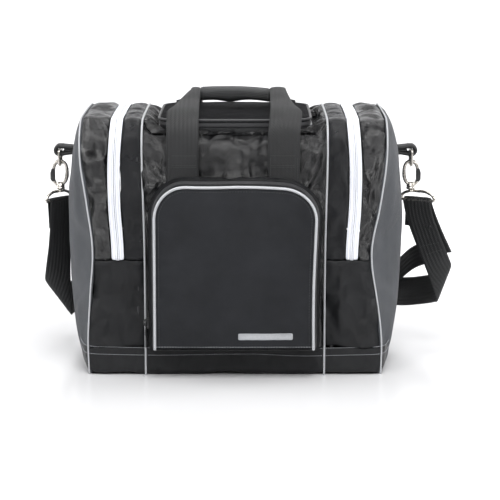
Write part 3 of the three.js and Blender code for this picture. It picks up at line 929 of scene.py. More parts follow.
def outline_loop(half_x, half_y, low_r, high_r, count=160):
    """Even points round a rounded rectangle, starting in the middle of its low side."""
    square = [(x, -1) for x in np.linspace(0, 1, 40, endpoint=False)]
    square += [(1, y) for y in np.linspace(-1, 1, 80, endpoint=False)]
    square += [(x, 1) for x in np.linspace(1, -1, 80, endpoint=False)]
    square += [(-1, y) for y in np.linspace(1, -1, 80, endpoint=False)]
    square += [(x, -1) for x in np.linspace(-1, 0, 40, endpoint=False)]
    loop = np.array([on_outline(u, v, half_x, half_y, low_r, high_r) for u, v in square])
    closed = np.concatenate([loop, loop[:1]])
    return points_at(closed, np.linspace(0, run_along(closed)[-1], count, endpoint=False))


def rim_mask(points):
    held = np.zeros(points.shape[:2], bool)
    held[0] = held[-1] = True
    held[:, 0] = held[:, -1] = True
    return held


# ---------------------------------------------------------------- front pocket

POCKET = dict(half_x=96.5, middle=134.0, half_z=95.5, radius=38.0)
POCKET_FACE = -153.0
POCKET_SPLIT = -135.2


def pocket_loop(inset, y, count=150, whole=False):
    """The pocket's arch from its lower left corner round to its lower right, or all the way round."""
    hx, hz, r = POCKET["half_x"] - inset, POCKET["half_z"] - inset, POCKET["radius"] - inset
    left = [(-hx, z) for z in np.linspace(-hz, hz - r, 30, endpoint=False)]
    turn = [(-hx + r - r * math.cos(a), hz - r + r * math.sin(a)) for a in np.linspace(0, math.pi / 2, 16)]
    arch = np.array(left + turn)
    arch = np.concatenate([arch, arch[::-1] * np.array([-1, 1])])
    arch = points_at(arch, np.linspace(0, run_along(arch)[-1], count))
    if whole:
        foot = np.stack([np.linspace(hx, -hx, 42)[1:-1], np.full(40, -hz)], axis=1)
        arch = np.concatenate([arch, foot])
    ys = np.broadcast_to(np.asarray(y, float), (len(arch),))
    return np.stack([arch[:, 0], ys, arch[:, 1] + POCKET["middle"]], axis=1)


def slack(points):
    """The filled pocket hangs a little lower at its right shoulder and narrows towards its right foot."""
    points = points.copy()
    right = np.clip(points[..., 0] / POCKET["half_x"], 0, 1)
    height = np.clip((points[..., 2] - POCKET["middle"]) / POCKET["half_z"], -1, 1)
    points[..., 0] -= right * (1.0 + 6.5 * (1 - height) / 2 * (0.75 + 0.25 * np.cos(2.2 * height)))
    points[..., 0] += 3.6 * np.clip(-points[..., 0] / POCKET["half_x"], 0, 1)
    points[..., 2] -= 3.4 * right * np.clip(height, 0, 1) ** 2
    points[..., 2] += 0.7 * np.sin(points[..., 0] * 0.05) * np.clip(height, 0, 1)
    return points


def make_pocket():
    face = filled_outline(POCKET["half_x"], POCKET["half_z"], 3, POCKET["radius"], (34, 34))
    flat = np.stack(
        [face[:, :, 0], np.full(face.shape[:2], POCKET_FACE), face[:, :, 1] + POCKET["middle"]], axis=2
    )
    bulge = np.cos(face[:, :, 0] / 100 * math.pi / 2) * np.cos(face[:, :, 1] / 99 * math.pi / 2)
    flat[:, :, 1] -= 3.5 * np.clip(bulge, 0, 1)
    flat = slack(flat)
    face = inflate(flat, rim_mask(flat), pressure=1.2, grow=0.012, cap=4.0, frames=14)
    face = wrinkle(face, 0.8, scale=0.014, seed=4.4, fade=edge_fade(face))
    o = sheet_piece(
        "pocket_face", face, "pocket_cloth", "pocket", thick=2.6, fine=2, stands_for=("pocket_flap",)
    )
    # Side wall of the flap, then a zipper, then the gusset that is sewn to the bag
    bands = (
        (
            "pocket_side", "pocket", "twill_cloth", 1.3,
            ((-0.2, POCKET_FACE + 0.6), (-1.6, -147), (-2.2, -141.5)), (),
        ),
        (
            "pocket_zip_flap", "pocket", "black_tape", 0.9,
            ((-2.4, -141.3), (-3.2, -138), (-3.4, POCKET_SPLIT - 0.3)), (),
        ),
        (
            "pocket_zip_fixed", "bag", "black_tape", 0.9,
            ((-3.5, POCKET_SPLIT + 0.3), (-3.9, -132), (-4.4, -129.2)), (),
        ),
        (
            "pocket_gusset_cloth", "bag", "twill_cloth", 1.3, ((-4.6, -129), (-6.2, -125), (-8.2, -121.5)),
            ("pocket_gusset",),
        ),
    )
    for name, body, material, thick, profile, names in bands:
        rings = slack(np.array([pocket_loop(inset, y, whole=True) for inset, y in profile]))
        sheet_piece(name, rings, material, body, thick=thick, wrap=True, flip=True, stands_for=names)
    for name, body, inset, y in (
        ("pocket_teeth_flap", "pocket", -3.5, -135.9), ("pocket_teeth_fixed", "bag", -3.6, -134.5)
    ):
        tube_piece(name, slack(pocket_loop(inset, y, 220)), 0.65, "black_tape", body, around=6)
    pipe = slack(pocket_loop(-0.6, POCKET_FACE - 1.0, 220))
    tube_piece("pocket_piping_cord", pipe, 1.75, "piping", "pocket", stands_for=("pocket_piping",))
    # The flap's lower edge is turned under and stitched
    z = POCKET["middle"] - POCKET["half_z"]
    x = np.linspace(-93, 93, 60)
    row = np.stack(
        [x, np.interp(np.abs(x), (0, 93), (POCKET_FACE - 0.9, POCKET_FACE - 0.1)), np.full(60, z + 2.6)],
        axis=1,
    )
    stitches("pocket_foot_stitches", [(row, (0, -1, 0.2))], "thread", "pocket", lift=0.5)
    arch = slack(pocket_loop(4.6, POCKET_FACE - 0.9, 200))
    stitches("pocket_arch_stitches", [(arch, (0, -1, 0))], "black_thread", "pocket", lift=0.6)
    badge = filled_outline(32, 4.0, 1.0, 1.0, (30, 6))
    # A plain woven label where the flap carries one
    label = np.stack([badge[:, :, 0] + 36, np.full(badge.shape[:2], 0.0), badge[:, :, 1] + 54], axis=2)
    for i in range(label.shape[0]):
        for j in range(label.shape[1]):
            label[i, j, 1] = surface_y(face, label[i, j, 0], label[i, j, 2]) - 0.7
    sheet_piece("pocket_label", label, "label_cloth", "pocket", thick=0.6)
    rows = [(label[0] + [0, 0, 1.2], (0, -1, 0)), (label[-1] - [0, 0, 1.2], (0, -1, 0))]
    rows += [(label[1:-1, 0] + [1.2, 0, 0], (0, -1, 0)), (label[1:-1, -1] - [1.2, 0, 0], (0, -1, 0))]
    stitches("pocket_label_stitches", rows, "thread", "pocket", pitch=2.0, length=1.4, radius=0.3)


def surface_y(grid, x, z):
    """The front face's y nearest to a point (x, z)."""
    d = (grid[:, :, 0] - x) ** 2 + (grid[:, :, 2] - z) ** 2
    near = np.argsort(d.reshape(-1))[:4]
    weights = 1 / (d.reshape(-1)[near] + 0.5)
    return float(np.sum(grid[:, :, 1].reshape(-1)[near] * weights) / np.sum(weights))


# ---------------------------------------------------------------- deck and lid

LID = dict(half_x=89.5, half_y=102.5, radius=30.0)
LID_LOW = 302.2


def lid_loop(inset, z, count=160):
    loop = outline_loop(
        LID["half_x"] - inset, LID["half_y"] - inset, LID["radius"] - inset, LID["radius"] - inset, count
    )
    return np.concatenate([loop, np.full((count, 1), z)], axis=1)


def make_deck(belt):
    a, b = C_SEAM, LAST_COL - C_SEAM
    lo, hi = R_TOP, LAST_ROW - R_TOP
    edge = [belt[lo, c] for c in range(a, b)] + [belt[r, b] for r in range(lo, hi)]
    edge += [belt[hi, c] for c in range(b, a, -1)] + [belt[r, a] for r in range(hi, lo, -1)]
    edge = smooth_path(edge, 520, closed=True)
    rings = 9
    inner = []
    for p in edge:
        u = p[0] / 109.0
        v = p[1] / abs(edge[0][1])
        m = max(abs(u), abs(v))
        x, y = on_outline(
            u / m, v / m, LID["half_x"] + 1.8, LID["half_y"] + 1.2, LID["radius"], LID["radius"]
        )
        inner.append((x, y, CENTRE_TOP + 0.6))
    inner = np.array(inner)
    grid = []
    run = run_along(edge)
    for k in range(rings + 1):
        t = k / rings
        row = edge * (1 - t) + inner * t
        for i in range(len(row)):
            gap = np.linalg.norm(edge[i] - inner[i])
            turn = 3.6 * noise.noise(Vector((run[i] * 0.03, 0.3, t * 0.8)))
            pleat = math.sin(run[i] * 0.33 + turn) + 0.4 * math.sin(run[i] * 0.71 + 2 * turn)
            depth = min(1.0, 0.1 + 2.2 * t) * min(2.3, gap * 0.13)
            row[i, 2] += math.sin(math.pi * t) * min(3.2, gap * 0.18) + pleat * depth
            if 93 < row[i, 0] < 101.5 and -68 < row[i, 1] < 72:  # pulled flat where the lid's slider runs
                row[i, 2] = min(row[i, 2], CENTRE_TOP + 1.2)
        grid.append(row)
    grid = np.array(grid)
    sheet_piece(
        "deck_cloth", grid, "satin_cloth", "bag", thick=2.0, fine=1, wrap=True, stands_for=("deck_frame",)
    )


def make_lid():
    bands = (
        (
            "lid_gusset", "bag", "twill_cloth", 1.4,
            ((-1.4, CENTRE_TOP - 1.4), (-1.0, 288.5), (-0.6, 291.6), (-0.4, 293.8)), (),
        ),
        (
            "lid_zip_fixed", "bag", "black_tape", 0.9, ((-0.3, 294.0), (-0.2, 295.3), (-0.2, 296.6)),
            ("lid_zip_band",),
        ),
        (
            "lid_zip_moving", "lid", "black_tape", 0.9, ((-0.2, 297.0), (-0.2, 298.2), (-0.4, 299.4)),
            ("lid_rim",),
        ),
        ("lid_side", "lid", "twill_cloth", 1.4, ((-0.4, 299.5), (-0.8, 300.8), (-0.4, LID_LOW)), ()),
    )
    for name, body, material, thick, profile, names in bands:
        rings = np.array([lid_loop(inset, z) for inset, z in profile])
        sheet_piece(name, rings, material, body, thick=thick, wrap=True, stands_for=names)
    for name, body, z in (("lid_teeth_fixed", "bag", 296.3), ("lid_teeth_moving", "lid", 297.3)):
        tube_piece(name, lid_loop(-0.5, z, 220), 0.6, "black_tape", body, closed=True, around=6)
    tube_piece("lid_edge_cord", lid_loop(-0.7, LID_LOW + 0.3, 220), 1.5, "black_tape", "lid", closed=True)
    foot = lid_loop(-2.6, CENTRE_TOP + 1.2, 240)
    hidden = np.clip((np.abs(foot[:, 1]) - LID["half_y"] + 8) / 8, 0, 1)
    foot[:, 2] -= 13.0 * hidden
    tube_piece("lid_piping", foot, 1.7, "piping", "bag", closed=True)
    top = filled_outline(LID["half_x"], LID["half_y"], LID["radius"], LID["radius"], (34, 36))
    crown = np.clip(
        np.cos(top[:, :, 0] / 100 * math.pi / 2) * np.cos(top[:, :, 1] / 107 * math.pi / 2), 0, 1
    )
    flat = np.stack([top[:, :, 0], top[:, :, 1], LID_LOW + 0.6 + 2.6 * crown**0.6], axis=2)
    puffed = inflate(flat, rim_mask(flat), pressure=1.2, grow=0.012, cap=2.2, frames=14)
    puffed = wrinkle(puffed, 0.9, scale=0.02, seed=6.1, fade=edge_fade(puffed))
    puffed[:, :, 2] = np.minimum(puffed[:, :, 2], 307.4)
    o = sheet_piece(
        "lid_cloth", puffed, "lining", "lid", thick=3.0, fine=1, slot="twill_cloth",
        stands_for=("lid_panel",),
    )

# ---------------------------------------------------------------- base


def end_foot(front, back, side):
    """The lower rows of an end, from the front seam's points to the back seam's."""
    rows = []
    for a, b in zip(front, back):
        row = []
        for u in np.linspace(0, 1, 30)[1:-1]:
            y, z = (a * (1 - u) + b * u)[1:]
            row.append((side * (abs(a[0]) + belly(abs(a[0]), y, z) + 0.8), y, z))
        rows.append(row)
    return np.array(rows)


def make_base(belt):
    """A band of cloth round the foot of the bag between two rows of stitches, and the bottom."""
    front = belt[: R_BAND + 1]
    back = belt[LAST_ROW - R_BAND :][::-1]
    right = end_foot(front[:, LAST_COL], back[:, LAST_COL], 1)
    left = end_foot(front[:, 0], back[:, 0], -1)
    out = np.concatenate([front, right, back[:, ::-1], left[:, ::-1]], axis=1)
    away = out[:, :, :2] / np.maximum(np.linalg.norm(out[:, :, :2], axis=2), 1)[:, :, None]
    proud = np.full(len(out), 0.7)
    proud[0] = -2.4
    out[:, :, :2] += away * proud[:, None, None]
    # The foot of the band stands a little wavy on the floor
    x, y = out[0, :, 0], out[0, :, 1]
    out[0, :, 2] = 1.2 + 1.4 * np.sin(x * 0.045 + 1.9) + 0.9 * np.sin(x * 0.11 + y * 0.03)
    out[:, :, 2] = np.maximum(out[:, :, 2], 0.4)
    sheet_piece(
        "base_band", out, "twill_cloth", "bag", thick=2.2, wrap=True, fine=2, stands_for=("base_tray",)
    )
    normal = out[3].copy()
    normal[:, 2] = 0
    normal /= np.linalg.norm(normal, axis=1)[:, None]
    rows = []
    for z in (34.0, 25.0):
        line = [
            [np.interp(z, column[:, 2], column[:, k]) for k in range(3)]
            for column in out[1:].transpose(1, 0, 2)
        ]
        line = np.array(line + line[:1])
        line[:, 2] = z + 0.8 * np.sin(line[:, 0] * 0.03 + 1.2) - 1.5 * np.exp(
            -(((line[:, 0] - 75) / 35) ** 2)
        )
        rows.append((line, np.concatenate([normal, normal[:1]])))
    stitches("base_stitches", rows, "thread", "bag", pitch=3.0, length=2.7, radius=0.42, lift=0.5)
    bottom = filled_outline(172.0, 113.0, 14, 14, (44, 30))
    wave_z = 2.0 + 1.2 * np.sin(bottom[:, :, 0] * 0.045 + 1.9)
    grid = np.stack([bottom[:, :, 0], bottom[:, :, 1], wave_z], axis=2)
    sheet_piece("bottom_cloth", grid, "twill_cloth", "bag", thick=1.2, flip=True)

# ---------------------------------------------------------------- handles

FRONT_LINE = (
    (-121.9, 34.5), (-121.9, 120), (-121.9, 200), (-121.9, 240), (-122.0, 268), (-122.0, 286),
    (-119.5, 297), (-112, 306), (-98, 313), (-78, 318), (-58, 322), (-38, 327.5), (-20, 331.0),
    (-10, 331.8),
)
REAR_LINE = (
    (121.9, 34.5), (121.9, 120), (121.9, 200), (121.9, 240), (122.0, 268), (122.0, 284), (120, 294),
    (114.5, 300.5), (104, 305.2), (86, 307.8), (64, 308.8), (44, 312), (28, 320.5), (16, 327.5),
    (10, 328.5),
)


# How much of the webbing's outer edge is folded under towards the grip
MITRE_AT = (20, 38, 58, 78, 98)
MITRE = {
    "front_left": (26.5, 21, 14, 9, 0), "front_right": (18.5, 16.5, 13, 9, 0), "rear": (27, 26, 20, 12, 4)
}


def make_handles():
    for name, body, turn, route, bar_z, seed in (
        ("front", "front_grip", 1, FRONT_LINE, 321.0, 1.0),
        ("rear", "rear_grip", -1, REAR_LINE, 325.0, 2.0),
    ):
        rows = []
        sewn_y = turn * -123.2  # where the legs lie on the cloth
        for side, side_name in ((-1, "left"), (1, "right")):
            line = smooth_path(route, 76)
            lean = 3.3 if (name, side) == ("front", 1) else 0.0  # this leg is sewn a little further in
            folded = MITRE["rear" if name == "rear" else "front_" + side_name]
            points = []
            for y, z in line:
                mitre = float(np.interp(abs(y), MITRE_AT, folded))
                inwards = lean * min(1.0, max(0.0, (318 - z) / 30))
                row = []
                for u in np.linspace(0, 1, 9):
                    x = HANDLE_IN + (HANDLE_OUT - mitre - HANDLE_IN) * u
                    curl = 1.2 * math.sin(math.pi * u) * min(1.0, max(0.0, (z - 288) / 15))
                    wavy = 0.5 * noise.noise(Vector((u * 2, z * 0.03 + y * 0.02, seed + side)))
                    slope = max(0.0, min(1.0, (118 - abs(y)) / 10))
                    rise = curl + wavy
                    row.append((side * x - inwards, y - turn * rise * (1 - slope), z + rise * slope))
                points.append(row)
            points = np.array(points)
            o = band_piece(
                f"{name}_{side_name}_leg",
                points,
                "webbing",
                None,
                thick=2.3,
                stands_for=(f"{name}_handle_{side_name}_anchor",) + (
                    (f"{name}_handle",) if side < 0 else ()
                ),
            )
            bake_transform(o)
            for x in (HANDLE_IN + 3, HANDLE_OUT - 3):
                seam = np.array([(side * x - lean, sewn_y, z) for z in np.linspace(40, 262, 60)])
                rows.append((seam, (0, -turn, 0)))
            across = np.linspace(HANDLE_IN + 3, HANDLE_OUT - 3, 12)
            for z in (263.0, 251.5, 249.5):
                cross = np.array([(side * x - lean, sewn_y, z) for x in across])
                rows.append((cross, (0, -turn, 0)))
        stitches(f"{name}_handle_stitches", rows, "black_thread", "bag", lift=0.25, radius=0.34)
        # Webbing of the grip, folded double inside the wrap
        bar = [[(x, y, bar_z) for y in np.linspace(-15, 15, 7)] for x in np.linspace(-40, 40, 14)]
        band_piece(name + "_grip_core", np.array(bar), "webbing", body, thick=2.2)


GRIP = 42.5  # half the wrap's length


def make_wrap():
    """The sleeve that closes round both handles: ribbed, arched and a little lower at its right end."""
    rings, around = [], 40
    for x in np.linspace(-GRIP, GRIP, 25):
        t = x / GRIP
        middle = 323.2 + 2.6 * (1 - t * t) - 0.9 * t
        half_y, half_z = 21.5 - 1.2 * t * t, 7.2 + 0.5 * t * t
        ring = []
        for k in range(around):
            a = 2 * math.pi * k / around
            c, s = math.cos(a), math.sin(a)
            p = 0.62
            y = half_y * math.copysign(abs(c) ** p, c)
            z = middle + half_z * math.copysign(abs(s) ** p, s)
            if s < 0:  # the soft underside sags in the middle
                z -= 3.8 * math.exp(-(((t + 0.15) / 0.33) ** 2)) * abs(s)
            dent = 0.4 * noise.noise(Vector((x * 0.06, a * 1.3, 4.0)))
            ring.append((x, y, z + dent))
        rings.append(ring)
    rings = np.array(rings)
    o = sheet_piece(
        "grip_sleeve", rings, "wrap_cloth", "rear_grip", thick=2.4, wrap=True, fine=2,
        stands_for=("grip_wrap",),
    )
    rows = []
    for x in (-GRIP + 3, GRIP - 3):
        i = int(np.argmin(np.abs(rings[:, 0, 0] - x)))
        ring = rings[i].copy()
        out = ring - ring.mean(axis=0)
        out[:, 0] = 0
        out /= np.linalg.norm(out, axis=1)[:, None]
        rows.append((np.concatenate([ring, ring[:1]]), np.concatenate([out, out[:1]])))
    stitches("grip_stitches", rows, "black_thread", "rear_grip", lift=0.3, radius=0.32)


# ---------------------------------------------------------------- clips

HOOK_X, HOOK_Y, RING_Z = 217.0, 22.0, 253.0
LOOP_TURN = {"left": 0.95, "right": 0.56}
LOOP_SHIFT = {"left": 2.5, "right": 9.0}


def lathe_piece(name, profile, at, material, body, around=28, **more):
    """A turned piece: profile holds (radius, height) from the bottom up, its axis upright at a point."""
    rings = [
        [
            (at[0] + r * math.cos(a), at[1] + r * math.sin(a), at[2] + z)
            for a in np.arange(around) * 2 * math.pi / around
        ]
        for r, z in profile
    ]
    verts = [p for ring in rings for p in ring]
    faces = grid_faces(len(profile), around, wrap_cols=True)
    faces += [
        tuple(reversed(range(around))), tuple(range((len(profile) - 1) * around, len(profile) * around))
    ]
    uvs = [(r * 2 * math.pi * k / around, z) for r, z in profile for k in range(around)]
    return mesh_piece(name, verts, faces, material, body, uvs, **more)


def plate_piece(name, outline, thick, place, material, body, bevel=0.4, **more):
    """A flat plate from an outline of (u, v), set by place(u, v, w), with softened edges."""
    n = len(outline)
    verts = [place(u, v, w) for w in (0, thick) for u, v in outline]
    faces = [tuple(reversed(range(n))), tuple(range(n, 2 * n))]
    faces += [(k, (k + 1) % n, n + (k + 1) % n, n + k) for k in range(n)]
    uvs = [(u, v) for _ in (0, 1) for u, v in outline]
    o = mesh_piece(name, verts, faces, material, body, uvs, **more)
    outwards(o)
    b = o.modifiers.new("edges", "BEVEL")
    b.width = bevel * MM
    b.segments = 3
    b.limit_method = "ANGLE"


def make_clip(name, side):
    x = side * HOOK_X
    flap = name + "_flap"
    # A tab folded round the ring's straight side, its ends on the end panel
    inner = side * 196.0
    curl = [(x + side * 5.0 * math.sin(a), RING_Z + 5.0 * math.cos(a)) for a in np.linspace(0, math.pi, 14)]
    line = [(inner - side * 6, RING_Z + 2.7), (inner + side * 6, RING_Z + 3.6)] + curl
    line += [(inner + side * 6, RING_Z - 2.8), (inner - side * 6, RING_Z - 2.7)]
    line = smooth_path(np.array(line), 50)
    points = [
        [(px, HOOK_Y + v, pz + 0.25 * math.cos(v * 0.3)) for v in np.linspace(-13, 13, 8)]
        for px, pz in line
    ]
    band_piece(
        name + "_tab_webbing", np.array(points), "webbing", flap, thick=4.8, stands_for=(name + "_tab",)
    )
    core = [
        [(px, HOOK_Y + v, RING_Z) for v in np.linspace(-12.6, 12.6, 6)]
        for px in np.linspace(inner - side * 6, x - side * 5, 8)
    ]
    band_piece(name + "_tab_core", np.array(core), "webbing", flap, thick=4.4)
    fold = [(x - side * 4, HOOK_Y + v, RING_Z + 7.4) for v in np.linspace(-11, 11, 10)]
    stitches(name + "_tab_stitches", [(fold, (0, 0, 1))], "black_thread", flap, lift=0.2, radius=0.36)

    ring = [
        (15.5, -1), (14, 0), (7, 0), (-7, 0), (-14, 0), (-15.5, -1), (-16, -4), (-15, -10), (-9.5, -17),
        (0, -20),
    ]
    ring += [(9.5, -17), (15, -10), (16, -4)]
    path = smooth_path([(x, HOOK_Y + y, RING_Z + z) for y, z in ring], 90, closed=True)
    tube_piece(
        name + "_ring_wire", path, 1.75, "plated_metal", name + "_ring", closed=True, around=14,
        stands_for=(name + "_dring",),
    )

    top = RING_Z - 20 + 4.0 + 1.7
    nose = [
        (0, -29), (-5, -26.5), (-7.8, -20), (-8.3, -13), (-7.8, -7.5), (-5.5, -2.6), (0, 0), (5.5, -2.4),
        (8, -8), (8, -10.5),
    ]
    path = smooth_path([(x + side * dx, HOOK_Y, top + dz) for dx, dz in nose], 60)
    radii = [2.0 + 0.35 * math.sin(2 * math.pi * k / 60) ** 2 for k in range(61)]
    snap = name + "_snap"
    tube_piece(
        name + "_hook_nose", path, radii, "plated_metal", snap, around=14, stands_for=(name + "_hook",)
    )
    heel = smooth_path(
        [
            (x + side * dx, HOOK_Y, top + dz)
            for dx, dz in ((1, -29), (5.5, -28), (7.8, -25.5), (8.1, -23.4))
        ],
        14,
    )
    tube_piece(name + "_hook_heel", heel, 2.3, "plated_metal", snap, around=12)
    barrel = [
        (2.6, -35.2), (4.9, -34.8), (5.4, -34.0), (5.4, -32.6), (4.8, -32.2), (4.8, -31.6), (5.2, -31.2),
        (5.2, -29.8),
    ]
    barrel += [(4.4, -29.2), (4.2, -28.2), (3.2, -27.0), (2.4, -26.0)]
    lathe_piece(name + "_hook_barrel", barrel, (x, HOOK_Y, top), "plated_metal", snap)

    gate = name + "_gate"
    rod = smooth_path(
        [(x + side * dx, HOOK_Y, top + dz) for dx, dz in ((8, -22.4), (8.1, -17), (8, -11.4))], 16
    )
    tube_piece(name + "_gate_bar", rod, 1.7, "black_metal", gate, around=12, stands_for=(gate,))
    lever = [
        (6.6, -25.4), (10.2, -25.8), (12.4, -23), (12.4, -14.5), (11.0, -9.6), (8.4, -8.6), (6.6, -10.6)
    ]
    plate_piece(
        name + "_gate_thumb",
        lever,
        4.6,
        lambda u, v, w: (x + side * u, HOOK_Y - 2.3 + w, top + v),
        "black_metal",
        gate,
        bevel=0.8,
    )

    loop_top = top - 37.7
    low, half = loop_top - 11, 21.0
    wire = [
        (-half, low), (-10, low), (0, low), (10, low), (half, low), (half + 2, low + 2.5),
        (half - 1, low + 7),
    ]
    wire += [
        (half - 6, loop_top - 1.6), (9, loop_top), (0, loop_top), (-9, loop_top),
        (-half + 6, loop_top - 1.6),
    ]
    wire += [(-half + 1, low + 7), (-half - 2, low + 2.5)]
    turn, shift = LOOP_TURN[name], LOOP_SHIFT[name]
    path = smooth_path(
        [
            (x + side * (shift + a * math.cos(turn)), HOOK_Y - a * math.sin(turn), z) for a, z in wire
        ], 110, closed=True
    )
    tube_piece(
        name + "_loop_wire", path, 1.9, "plated_metal", flap, closed=True, around=14,
        stands_for=(name + "_strap_loop",),
    )
    stud = [(1.9, -1.8), (3.3, -1.3), (3.6, -0.6), (3.6, 0.9), (2.9, 1.5), (1.6, 1.9)]
    lathe_piece(name + "_loop_stud", stud, (x, HOOK_Y, loop_top + 0.4), "plated_metal", flap, around=20)


# ---------------------------------------------------------------- shoulder strap

# Each station holds the outer edge, which becomes the upper one behind the bag, and the inner, lower edge
LEFT_EDGES = (
    ((-228.5, 5.5, 190), (-204.5, 38.5, 190)),
    ((-229.5, 7, 165), (-206, 36.5, 163)),
    ((-232, 9, 135), (-206.5, 35, 128)),
    ((-236, 14, 108), (-207, 33, 92)),
    ((-238.5, 26, 88), (-207, 46, 43)),
    ((-232, 46, 83), (-208, 66, 37)),
    ((-218, 84, 76), (-205, 96, 34)),
    ((-194, 122, 72), (-188, 129, 33)),
    ((-163, 139, 70), (-160, 144, 32)),
    ((-118, 147, 67), (-116, 151, 29)),
    ((-60, 150, 62), (-60, 155, 25)),
    ((-2, 151, 58), (-2, 157, 21.5)),
)
RIGHT_EDGES = (
    ((241, 11, 190), (208, 33, 190)),
    ((244, 12, 174), (212, 31, 170)),
    ((250, 13, 157), (219, 30, 149)),
    ((258, 15, 136), (228, 29, 126)),
    ((265.5, 20, 119), (239, 29, 99)),
    ((270, 31, 105), (253, 41, 61)),
    ((263, 50, 96), (252, 61, 53)),
    ((248, 78, 86), (239, 89, 45)),
    ((224, 109, 77), (216, 115, 38)),
    ((195, 133, 73), (190, 138, 35)),
    ((150, 144, 72), (148, 150, 36)),
    ((112, 147.5, 69), (111, 153, 33)),
    ((75, 149, 64), (75, 155, 27)),
    ((2, 151, 58), (2, 157, 21.5)),
)
TAIL_EDGES = (
    ((243, 15, 189), (214, 35, 188)),
    ((248, 17, 174), (219, 35, 171)),
    ((257, 19, 152), (228, 34, 147)),
    ((270, 21, 124), (240, 34, 119)),
)
RETURN_EDGES = (
    ((262, 27, 142), (262, 30, 116)),
    ((247, 50, 137), (250, 47, 108)),
    ((224, 81, 121), (228, 77, 94)),
    ((207, 112, 99), (211, 107, 73)),
    ((186, 140, 80), (190, 138, 48)),
    ((150, 151.5, 72), (148, 157, 36)),
    ((118, 154, 69), (117, 159.5, 33)),
)


def edge_grid(edges, steps):
    both = smooth_path([list(a) + list(b) for a, b in edges], steps)
    return np.array([[row[:3] * (1 - u) + row[3:] * u for u in np.linspace(0, 1, 9)] for row in both])


def rows_near_edges(points):
    """Lines along both edges of a band, in front of its face, and the way out of it."""
    normal = way_out(points)
    out = []
    for u in (0.1, 0.9):
        k = u * (points.shape[1] - 1)
        lo = int(k)
        line = points[:, lo] * (1 - (k - lo)) + points[:, lo + 1] * (k - lo)
        n = -(normal[:, lo])
        out.append((line + n * 1.1, n))
    return out


def strap_blend(o):
    """The strap's placing, baked into its points."""
    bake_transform(o)


def make_strap():
    for name, edges, flap in (("left", LEFT_EDGES, "left_flap"), ("right", RIGHT_EDGES, "right_flap")):
        points = edge_grid(edges, 120)
        o = band_piece(name + "_webbing", points, "webbing", None, thick=2.0, stands_for=("strap_" + name,))
        strap_blend(o)
        # Its end turns round the loop's wire and is sewn down behind
        middle = (np.array(edges[0][0]) + np.array(edges[0][1])) / 2
        across = np.array(edges[0][0], float) - np.array(edges[0][1], float)
        across /= np.linalg.norm(across)
        back = np.array([-across[1], across[0], 0.0])
        if back[1] < 0:
            back = -back
        turn = [
            middle + back * (3.1 - 3.1 * math.cos(a)) + np.array([0, 0, 3.1 * math.sin(a)])
            for a in np.linspace(0.0, math.pi, 12)
        ]
        down = [turn[-1] + np.array([0, 0, -d]) + back * -0.055 * d for d in (6, 14, 24, 34)]
        line = smooth_path(np.array(turn + down), 40)
        fold = ribbon_points(line, np.broadcast_to(across, line.shape), width=WEB - 0.6)
        o = band_piece(name + "_strap_end", fold, "webbing", flap, thick=2.0)
        cross = [points[16] + np.array([0, -1.2, 0]), points[19] + np.array([0, -1.2, 0])]
        rows = [(c[1:-1], (0, -1, 0.0)) for c in cross]
        rows += rows_near_edges(points[2:16])
        stitches(name + "_strap_stitches", rows, "black_thread", flap, radius=0.34)
    tail = edge_grid(TAIL_EDGES, 30)
    band_piece("strap_tail", tail, "webbing", "right_flap", thick=2.0)
    o = band_piece("strap_return", edge_grid(RETURN_EDGES, 60), "webbing", None, thick=2.0)
    strap_blend(o)
    tilt = 0.15

    def place(u, v, w=0.0):
        return (112 + u, 157.6 + w - v * math.sin(tilt), 51 + v * math.cos(tilt))

    rounded = smooth_path(
        [(u * 0.98, v * 0.98) for u, v in outline_loop(11.0, 22.5, 3.5, 3.5, 60)], 80, closed=True
    )
    path = np.array([place(u, v) for u, v in rounded])
    tube_piece(
        "adjuster_frame", path, 1.7, "black_metal", "adjuster", closed=True, around=12,
        stands_for=("strap_adjuster",),
    )
    bar = np.array([place(0, v) for v in np.linspace(-22, 22, 12)])
    tube_piece("adjuster_bar", bar, 1.7, "black_metal", "adjuster", around=12)


# ---------------------------------------------------------------- zipper sliders and pulls


